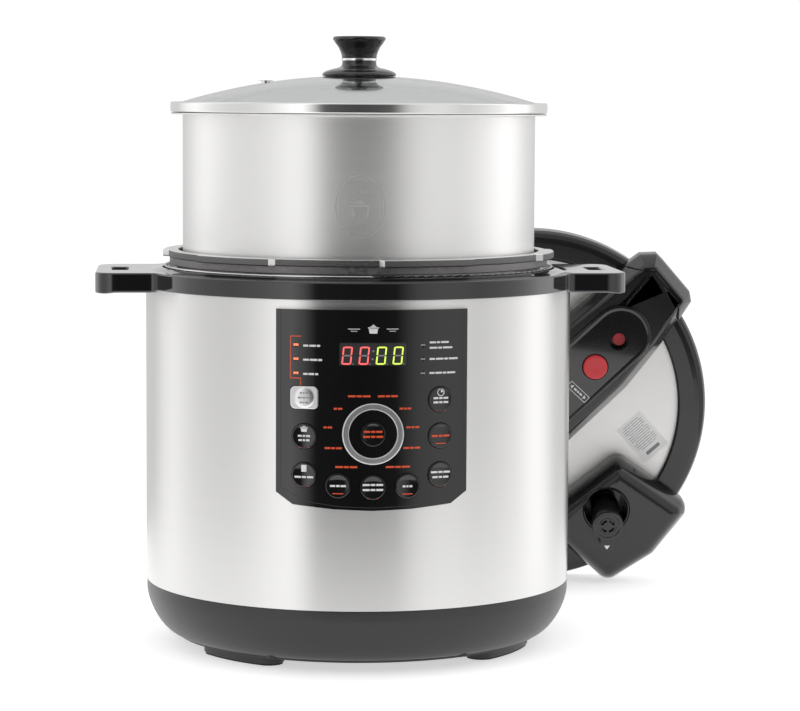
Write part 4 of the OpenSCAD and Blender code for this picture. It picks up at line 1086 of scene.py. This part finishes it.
def lid_bar(body):
    """Hollow bar handle: straight sides, sloped shoulders, raised end bands."""
    tall = 30.0
    outside = [(0.0, -2.9), (0.0, 9.0), (0.3, 11.0), (1.1, 13.0), (3.2, 17.6), (6.6, 24.6), (8.0, 27.6),
               (9.3, 29.2), (11.2, tall)]
    pin, push = spot("float_pin"), spot("lid_button")
    cut = Shape().loft(bar_section([(3, -8), (3, 12), (10, 26.5)]), matrix=BAR)
    holes = Shape().prism(ring_points(FLOAT_HOLE_R, 40), 20, 60,
                          matrix=BAR @ Matrix.Translation((pin.x, pin.y, 0)))
    holes.prism(ring_points(PUSH_HOLE_R, 48), 20, 60, matrix=BAR @ Matrix.Translation((push.x, push.y, 0)))
    Shape().loft(bar_section(outside), matrix=BAR).piece(
        "lid_bar_handle", body, PAINT["lid_plastic"], ["lid_handle"], sharp=30, cuts=[cut, holes])
    bands = Shape()
    shoulder = [(0.0, -2.8), (0.0, 9.0), (0.6, 13.0), (2.6, 17.6), (6.0, 24.6), (7.6, 27.8), (9.6, 29.8),
                (12.4, tall)]
    rim = [(151, 38.9), (167, 37.2), (178.2, 27.6), (178.45, 20), (177, -17.7), (172.4, -25.2), (153, -30.4)]
    for side in (1, -1):
        outline = [(side * x, side * y) for x, y in rim]
        bands.loft([at_height(inset_outline(outline[::-1], inset - 0.5), z + 0.01) for inset, z in shoulder],
                   matrix=BAR)
    bands.piece("lid_bar_end_bands", body, PAINT["lid_plastic"], sharp=30)
    screws = Shape()
    for side in (-1, 1):
        turn = BAR @ Matrix.Translation((side * 172.6, side * 29.2, 12)) @ Matrix.Rotation(
            math.radians(47 + 90 * (1 - side)), 4, "Z") @ Matrix.Rotation(math.pi / 2, 4, "Y")
        screws.lathe([(0, -3), (2.4, -3), (2.4, 0.6), (1.9, 1.0), (0.9, 0.9), (0.7, 0.3), (0, 0.3)], 24, turn,
                     closed=False)
    screws.piece("lid_bar_vents", body, PAINT["switch_plastic"])


def cover_outline(inset):
    """Outline of the gloss cover: a round end beyond the float hole and two straight sides."""
    x, y, r = 106.5, -2.0, 27.0
    points = arc(x, y, r, -90, 90, 30)
    points += [(40, y + r + 0.5), (-30, y + r + 1), (-30, y - r - 1), (40, y - r - 0.5)]
    return inset_outline(points, inset)


def lid_cover(body):
    """Gloss cover with a raised border, the float valve's hole and the lock button's opening."""
    base, top = 29.4, 33.0
    pin, push = spot("float_pin"), spot("lid_button")
    at_pin = BAR @ Matrix.Translation((pin.x, pin.y, 0))
    at_push = BAR @ Matrix.Translation((push.x, push.y, 0))
    sections = [(0, base), (0, top - 1.2), (0.4, top - 0.35), (1.2, top), (2.0, top), (2.5, top - 0.5),
                (3.2, top - 0.8), (5.0, top - 0.8)]
    cut = Shape().loft([at_height(ring_points(r, 48), z)
                        for r, z in ((FLOAT_HOLE_R, 20), (FLOAT_HOLE_R, top - 1.6), (8.1, top - 0.9),
                                     (9, top + 1))], matrix=at_pin)
    cut.loft([at_height(ring_points(r, 56), z)
              for r, z in ((PUSH_HOLE_R, 20), (PUSH_HOLE_R, top - 1.5), (11.9, top - 0.8), (13, top + 1))],
             matrix=at_push)
    Shape().loft([at_height(cover_outline(inset), z) for inset, z in sections], matrix=BAR).piece(
        "lid_gloss_cover", body, PAINT["cover_plastic"], ["handle_cover"], sharp=30, cuts=[cut])
    p = Flat(BAR @ Matrix.Translation((44, -14, top - 0.8)) @ Matrix.Rotation(math.radians(-86), 4, "Z"),
             0.08)
    p.bar(0, 3.2, 22, 0.5)
    p.bar(0, -3.2, 22, 0.5)
    for side in (-1, 1):
        p.bar(side * 11, 0, 0.5, 6.9)
        p.quad([(side * 9, 0), (side * 6.5, 1.8), (side * 6.5, -1.8)])
    p.dashes(0, 0, 9.5, 1.6, (3, 2, 3))
    p.shape.piece("lid_cover_print", body, WHITE_INK)
    face = 35.4
    profile = [(0, 14), (10.9, 14), (10.95, face - 1.4), (10.7, face - 0.6), (10.1, face - 0.15), (9.3, face),
               (4, face - 0.15), (0, face - 0.2)]
    Shape().lathe(profile, 64, at_push, closed=False).piece(
        "lock_button_cap", "lid_button", PAINT["red_plastic"], ["lid_button"])


def housing_outline(inset):
    """Outline of the valve housing: five round corners, the outer side following the lid's rim."""
    corners = [(24, -102), (73, -145.5), (106, -124.5), (131, -92), (80.5, -57)]
    r = max(12 - inset, 1.0)
    points = []
    for k, here in enumerate(corners):
        before, after = corners[k - 1], corners[(k + 1) % len(corners)]
        a0 = math.degrees(math.atan2(here[1] - before[1], here[0] - before[0])) - 90
        a1 = math.degrees(math.atan2(after[1] - here[1], after[0] - here[0])) - 90
        while a1 < a0:
            a1 += 360
        shrink = max(inset - 11, 0)
        middle_x, middle_y = 82, -104
        x = here[0] + (middle_x - here[0]) * shrink / 40
        y = here[1] + (middle_y - here[1]) * shrink / 40
        points += arc(x, y, r, a0, a1, 8)
    return points


def valve_housing(body):
    """Soft-edged housing with a deep round well for the steam valve."""
    tall = 34.0
    sections = [(0.0, -4.3), (0.0, 6), (0.3, 11), (1.0, 15.5), (2.3, 20.5), (4.2, 25.0), (6.4, 28.8),
                (8.6, 31.2), (11.0, 32.9), (14.0, 33.8), (18.0, tall)]
    shape = Shape().loft([at_height(housing_outline(inset), z) for inset, z in sections], matrix=LID)
    well = LID @ polar(*VALVE_POLAR)
    cut = Shape().loft([at_height(ring_points(r, 72), z)
                        for r, z in ((19, -2.4), (19, 29.6), (19.3, 31.6), (20.2, 33.2), (21.4, 34.0),
                                     (23.5, 36))],
                       matrix=well)
    shape.piece("valve_housing_cover", body, PAINT["lid_plastic"], ["valve_housing"], sharp=30, cuts=[cut])
    ring = [(19.05, 24), (20.6, 24), (20.6, 33.2), (20.3, 34.1), (19.7, 34.3), (19.2, 34.0), (19.05, 33.2)]
    Shape().lathe(ring, 72, well).piece("valve_well_ring", body, PAINT["cover_plastic"])
    p = Flat(LID @ Matrix.Translation((60, -122, tall)), 0.05)
    p.ring(0, 0, 4.0, 4.4)
    for k in (-1, 0, 1):
        p.bar(k * 1.9, 0, 0.6, 3.8)
    p.shape.piece("valve_housing_mark", body, PAINT["cover_plastic"])


def valve():
    """Weighted steam valve: fluted stem, slotted cap and pointer arm."""
    softened("valve_weight", PAINT["zinc_steel"], 0.3, "valve_weight", "valve_weight_core")
    stem = [(8.6, 12), (12.0, 12), (12.4, 12.6), (12.4, 41), (12.8, 43), (13.7, 45.6), (14, 47.2), (14, 54.4),
            (13.6, 55.4), (12.8, 55.8), (11.6, 55.8), (10.9, 55.2), (8.0, 55.2), (7.4, 55.7), (3.4, 55.8),
            (0, 55.8), (0, 25.3), (8.6, 25.3)]
    cut = Shape()
    for k in range(4):
        cut.loft([arc_band(4.2, 6.4, 12 + 90 * k, 78 + 90 * k, z) for z in (53, 57)], matrix=VALVE)
    stem_mesh = Shape().lathe(stem, 72, VALVE, closed=True)
    stem_mesh.piece("valve_cap_body", "valve_cap", PAINT["lid_plastic"], ["valve_cap"], sharp=36, cuts=[cut])
    arm = Shape()
    outline = [(-6.6, -10.5), (-5.2, -23.6), (-3.6, -25.6), (3.6, -25.6), (5.2, -23.6), (6.6, -10.5)]
    arm.prism(outline, 50.2, 54.8, 0.9, VALVE)
    for k in range(8):
        if k != 6:
            place = VALVE @ Matrix.Rotation(math.tau * k / 8, 4, "Z") @ Matrix.Translation((12.1, 0, 0))
            arm.prism(rounded_rectangle(1.4, 3.2, 0.6, 3), 20, 44, 0.5, place)
    arm.piece("valve_cap_arm", "valve_cap", PAINT["lid_plastic"], bevel=0.4)
    p = Flat(VALVE @ Matrix.Translation((0, -21.4, 54.8)), 0.06)
    p.quad([(-2.7, 1.6), (0, -2.4), (2.7, 1.6)])
    p.shape.piece("valve_cap_mark", "valve_cap", WHITE_INK)


def arc_band(r0, r1, a0, a1, z):
    return at_height(arc(0, 0, r1, a0, a1, 10) + arc(0, 0, r0, a1, a0, 10), z)


def lid_sticker(body):
    """Plain white sticker with grey lines on the steel dish."""
    place = LID @ Matrix.Translation((104, -29, -4.4)) @ Matrix.Rotation(math.radians(42), 4, "Z")
    label = Shape().prism(rounded_rectangle(28, 40, 1.2, 3), 0.02, 0.16, matrix=place)
    label.piece("lid_sticker", body, STICKER_PAPER)
    p = Flat(place @ Matrix.Translation((0, 0, 0.16)), 0.03)
    for k in range(13):
        p.dashes(0, 17 - 2.15 * k, 22 if k % 4 else 17, 0.55, (5, 3, 6, 4), 0.5)
    p.bar(0, -14.4, 15, 3.2)
    p.shape.piece("lid_sticker_lines", body, GREY_INK)


# ---------------------------------------------------------------- everything that keeps its CAD shape

def keep_cad_nodes():
    """The remaining CAD nodes keep their shape and take the finish of their slot."""
    for name, obj in frame["nodes"].items():
        if obj.hide_render:
            continue
        obj.data.materials.clear()
        obj.data.materials.append(PAINT[SLOT_OF[name]])


# ---------------------------------------------------------------- studio

def studio():
    """Round white floor that glows a little, and soft light that comes in bands round the object."""
    floor_r, rings, drop = 620, 24, -0.2
    floor = Shape().loft([at_height(ring_points(floor_r * k / rings, 96), drop) for k in range(rings, 0, -1)],
                         caps=False)
    mesh = bpy.data.meshes.new("floor")
    mesh.from_pydata([p * MM for p in floor.points], [], floor.faces)
    bm = bmesh.new()
    bm.from_mesh(mesh)
    bmesh.ops.recalc_face_normals(bm, faces=bm.faces)
    for face in bm.faces:
        if face.normal.z < 0:
            face.normal_flip()
    bm.to_mesh(mesh)
    bm.free()
    paint, shader, tree = nodes_of("floor_white", (0.93, 0.93, 0.93), 0.75)
    tint(tree, shader, grain(tree, 3.0), (0.93, 0.93, 0.93), 0.01)
    shader.inputs["Emission Color"].default_value = (1, 1, 1, 1)
    shader.inputs["Emission Strength"].default_value = 0.55
    mesh.materials.append(paint)
    obj = bpy.data.objects.new("floor", mesh)
    bpy.context.scene.collection.objects.link(obj)
    studio_light()


def math_node(tree, operation, first, second=None):
    node = tree.nodes.new("ShaderNodeMath")
    node.operation = operation
    for socket, value in zip(node.inputs, (first, second)):
        if value is None:
            continue
        if isinstance(value, (int, float)):
            socket.default_value = value
        else:
            tree.links.new(value, socket)
    return node.outputs[0]


def bands_node(tree, angle, bands):
    """Brightness by compass direction."""
    share = tree.nodes.new("ShaderNodeMapRange")
    share.inputs["From Min"].default_value = -math.pi
    share.inputs["From Max"].default_value = math.pi
    tree.links.new(angle, share.inputs["Value"])
    ramp = tree.nodes.new("ShaderNodeValToRGB")
    stops = ramp.color_ramp.elements
    while len(stops) < len(bands):
        stops.new(0.5)
    peak = max(level for _, level in bands)
    for stop, (degrees, level) in zip(stops, bands):
        stop.position = (degrees + 180) / 360
        stop.color = (level / peak, level / peak, level / peak, 1)
    tree.links.new(share.outputs["Result"], ramp.inputs["Fac"])
    return math_node(tree, "MULTIPLY", ramp.outputs["Color"], peak)


def studio_light():
    """Light by direction: bright cards at the sides, a dark gap about the camera, an even ceiling."""
    world = bpy.data.worlds.new("studio")
    bpy.context.scene.world = world
    world.use_nodes = True
    tree = world.node_tree
    tree.nodes.clear()
    place = tree.nodes.new("ShaderNodeTexCoord")
    turn = tree.nodes.new("ShaderNodeVectorRotate")
    turn.rotation_type = "Z_AXIS"
    turn.inputs["Angle"].default_value = -CAMERA_TURN
    parts = tree.nodes.new("ShaderNodeSeparateXYZ")
    tree.links.new(place.outputs["Generated"], turn.inputs["Vector"])
    tree.links.new(turn.outputs["Vector"], parts.inputs["Vector"])
    behind = math_node(tree, "MULTIPLY", parts.outputs["Y"], -1)
    angle = math_node(tree, "ARCTAN2", parts.outputs["X"], behind)
    low = bands_node(tree, angle, LIGHT_BANDS)
    high = bands_node(tree, angle, CEILING_BANDS)
    rise = tree.nodes.new("ShaderNodeMapRange")
    rise.interpolation_type = "SMOOTHSTEP"
    rise.inputs["From Min"].default_value = GAP_TOP[0]
    rise.inputs["From Max"].default_value = GAP_TOP[1]
    tree.links.new(parts.outputs["Z"], rise.inputs["Value"])
    share = rise.outputs["Result"]
    keep = math_node(tree, "MULTIPLY", low, math_node(tree, "SUBTRACT", 1, share))
    level = math_node(tree, "ADD", keep, math_node(tree, "MULTIPLY", high, share))
    back = tree.nodes.new("ShaderNodeBackground")
    tree.links.new(level, back.inputs["Strength"])
    plain = tree.nodes.new("ShaderNodeBackground")
    plain.inputs["Color"].default_value = (1, 1, 1, 1)
    plain.inputs["Strength"].default_value = 1.05
    path = tree.nodes.new("ShaderNodeLightPath")
    mix = tree.nodes.new("ShaderNodeMixShader")
    out = tree.nodes.new("ShaderNodeOutputWorld")
    tree.links.new(path.outputs["Is Camera Ray"], mix.inputs["Fac"])
    tree.links.new(back.outputs[0], mix.inputs[1])
    tree.links.new(plain.outputs[0], mix.inputs[2])
    tree.links.new(mix.outputs[0], out.inputs["Surface"])


def camera():
    """Long lens, a little above the collar, slightly left of the panel's middle."""
    distance, eye, lens_px = 2.255, 0.4396, 2794.0
    ahead = Vector((math.sin(-CAMERA_TURN), math.cos(CAMERA_TURN), 0))
    right = Vector((ahead.y, -ahead.x, 0))
    yaw, pitch, roll = math.radians(0.862), math.radians(5.30), math.radians(0.3)
    look = ahead * (math.cos(yaw) * math.cos(pitch)) + right * (math.sin(yaw) * math.cos(pitch))
    look -= Vector((0, 0, math.sin(pitch)))
    data = bpy.data.cameras.new("camera")
    data.lens = lens_px * 36 / 800
    data.clip_start, data.clip_end = 0.1, 30
    obj = bpy.data.objects.new("camera", data)
    obj.location = -ahead * distance + Vector((0, 0, eye))
    obj.rotation_mode = "QUATERNION"
    obj.rotation_quaternion = look.to_track_quat("-Z", "Y") @ Quaternion((0, 0, 1), roll)
    bpy.context.scene.collection.objects.link(obj)
    bpy.context.scene.camera = obj


CAMERA_TURN = math.radians(-3.75)
SIDES_LEFT = [(-180, 0.85), (-143, 0.87), (-128, 1.3), (-117, 1.45), (-99, 1.09), (-84, 0.96), (-70, 0.93),
              (-57, 1.1), (-46, 1.37), (-35, 1.65), (-29, 1.1)]
SIDES_RIGHT = [(31, 0.85), (42, 1.05), (54, 1.05), (66, 0.89), (80, 1.02), (94, 1.23), (110, 1.75),
               (120, 1.55), (134, 0.96), (180, 0.85)]
LIGHT_BANDS = SIDES_LEFT + [(-22, 0.12), (0, 0.08), (20, 0.12)] + SIDES_RIGHT
CEILING_BANDS = SIDES_LEFT + [(-22, 0.9), (0, 0.9), (20, 0.9)] + SIDES_RIGHT
GAP_TOP = (0.3, 0.8)

camera()
base_pan()
collar()
flange()
panel_prints()
window()
menu_ring()
buttons()
pot()
glass_lid()
lid()
valve()
keep_cad_nodes()
studio()
bpy.context.scene.view_settings.view_transform = "Standard"
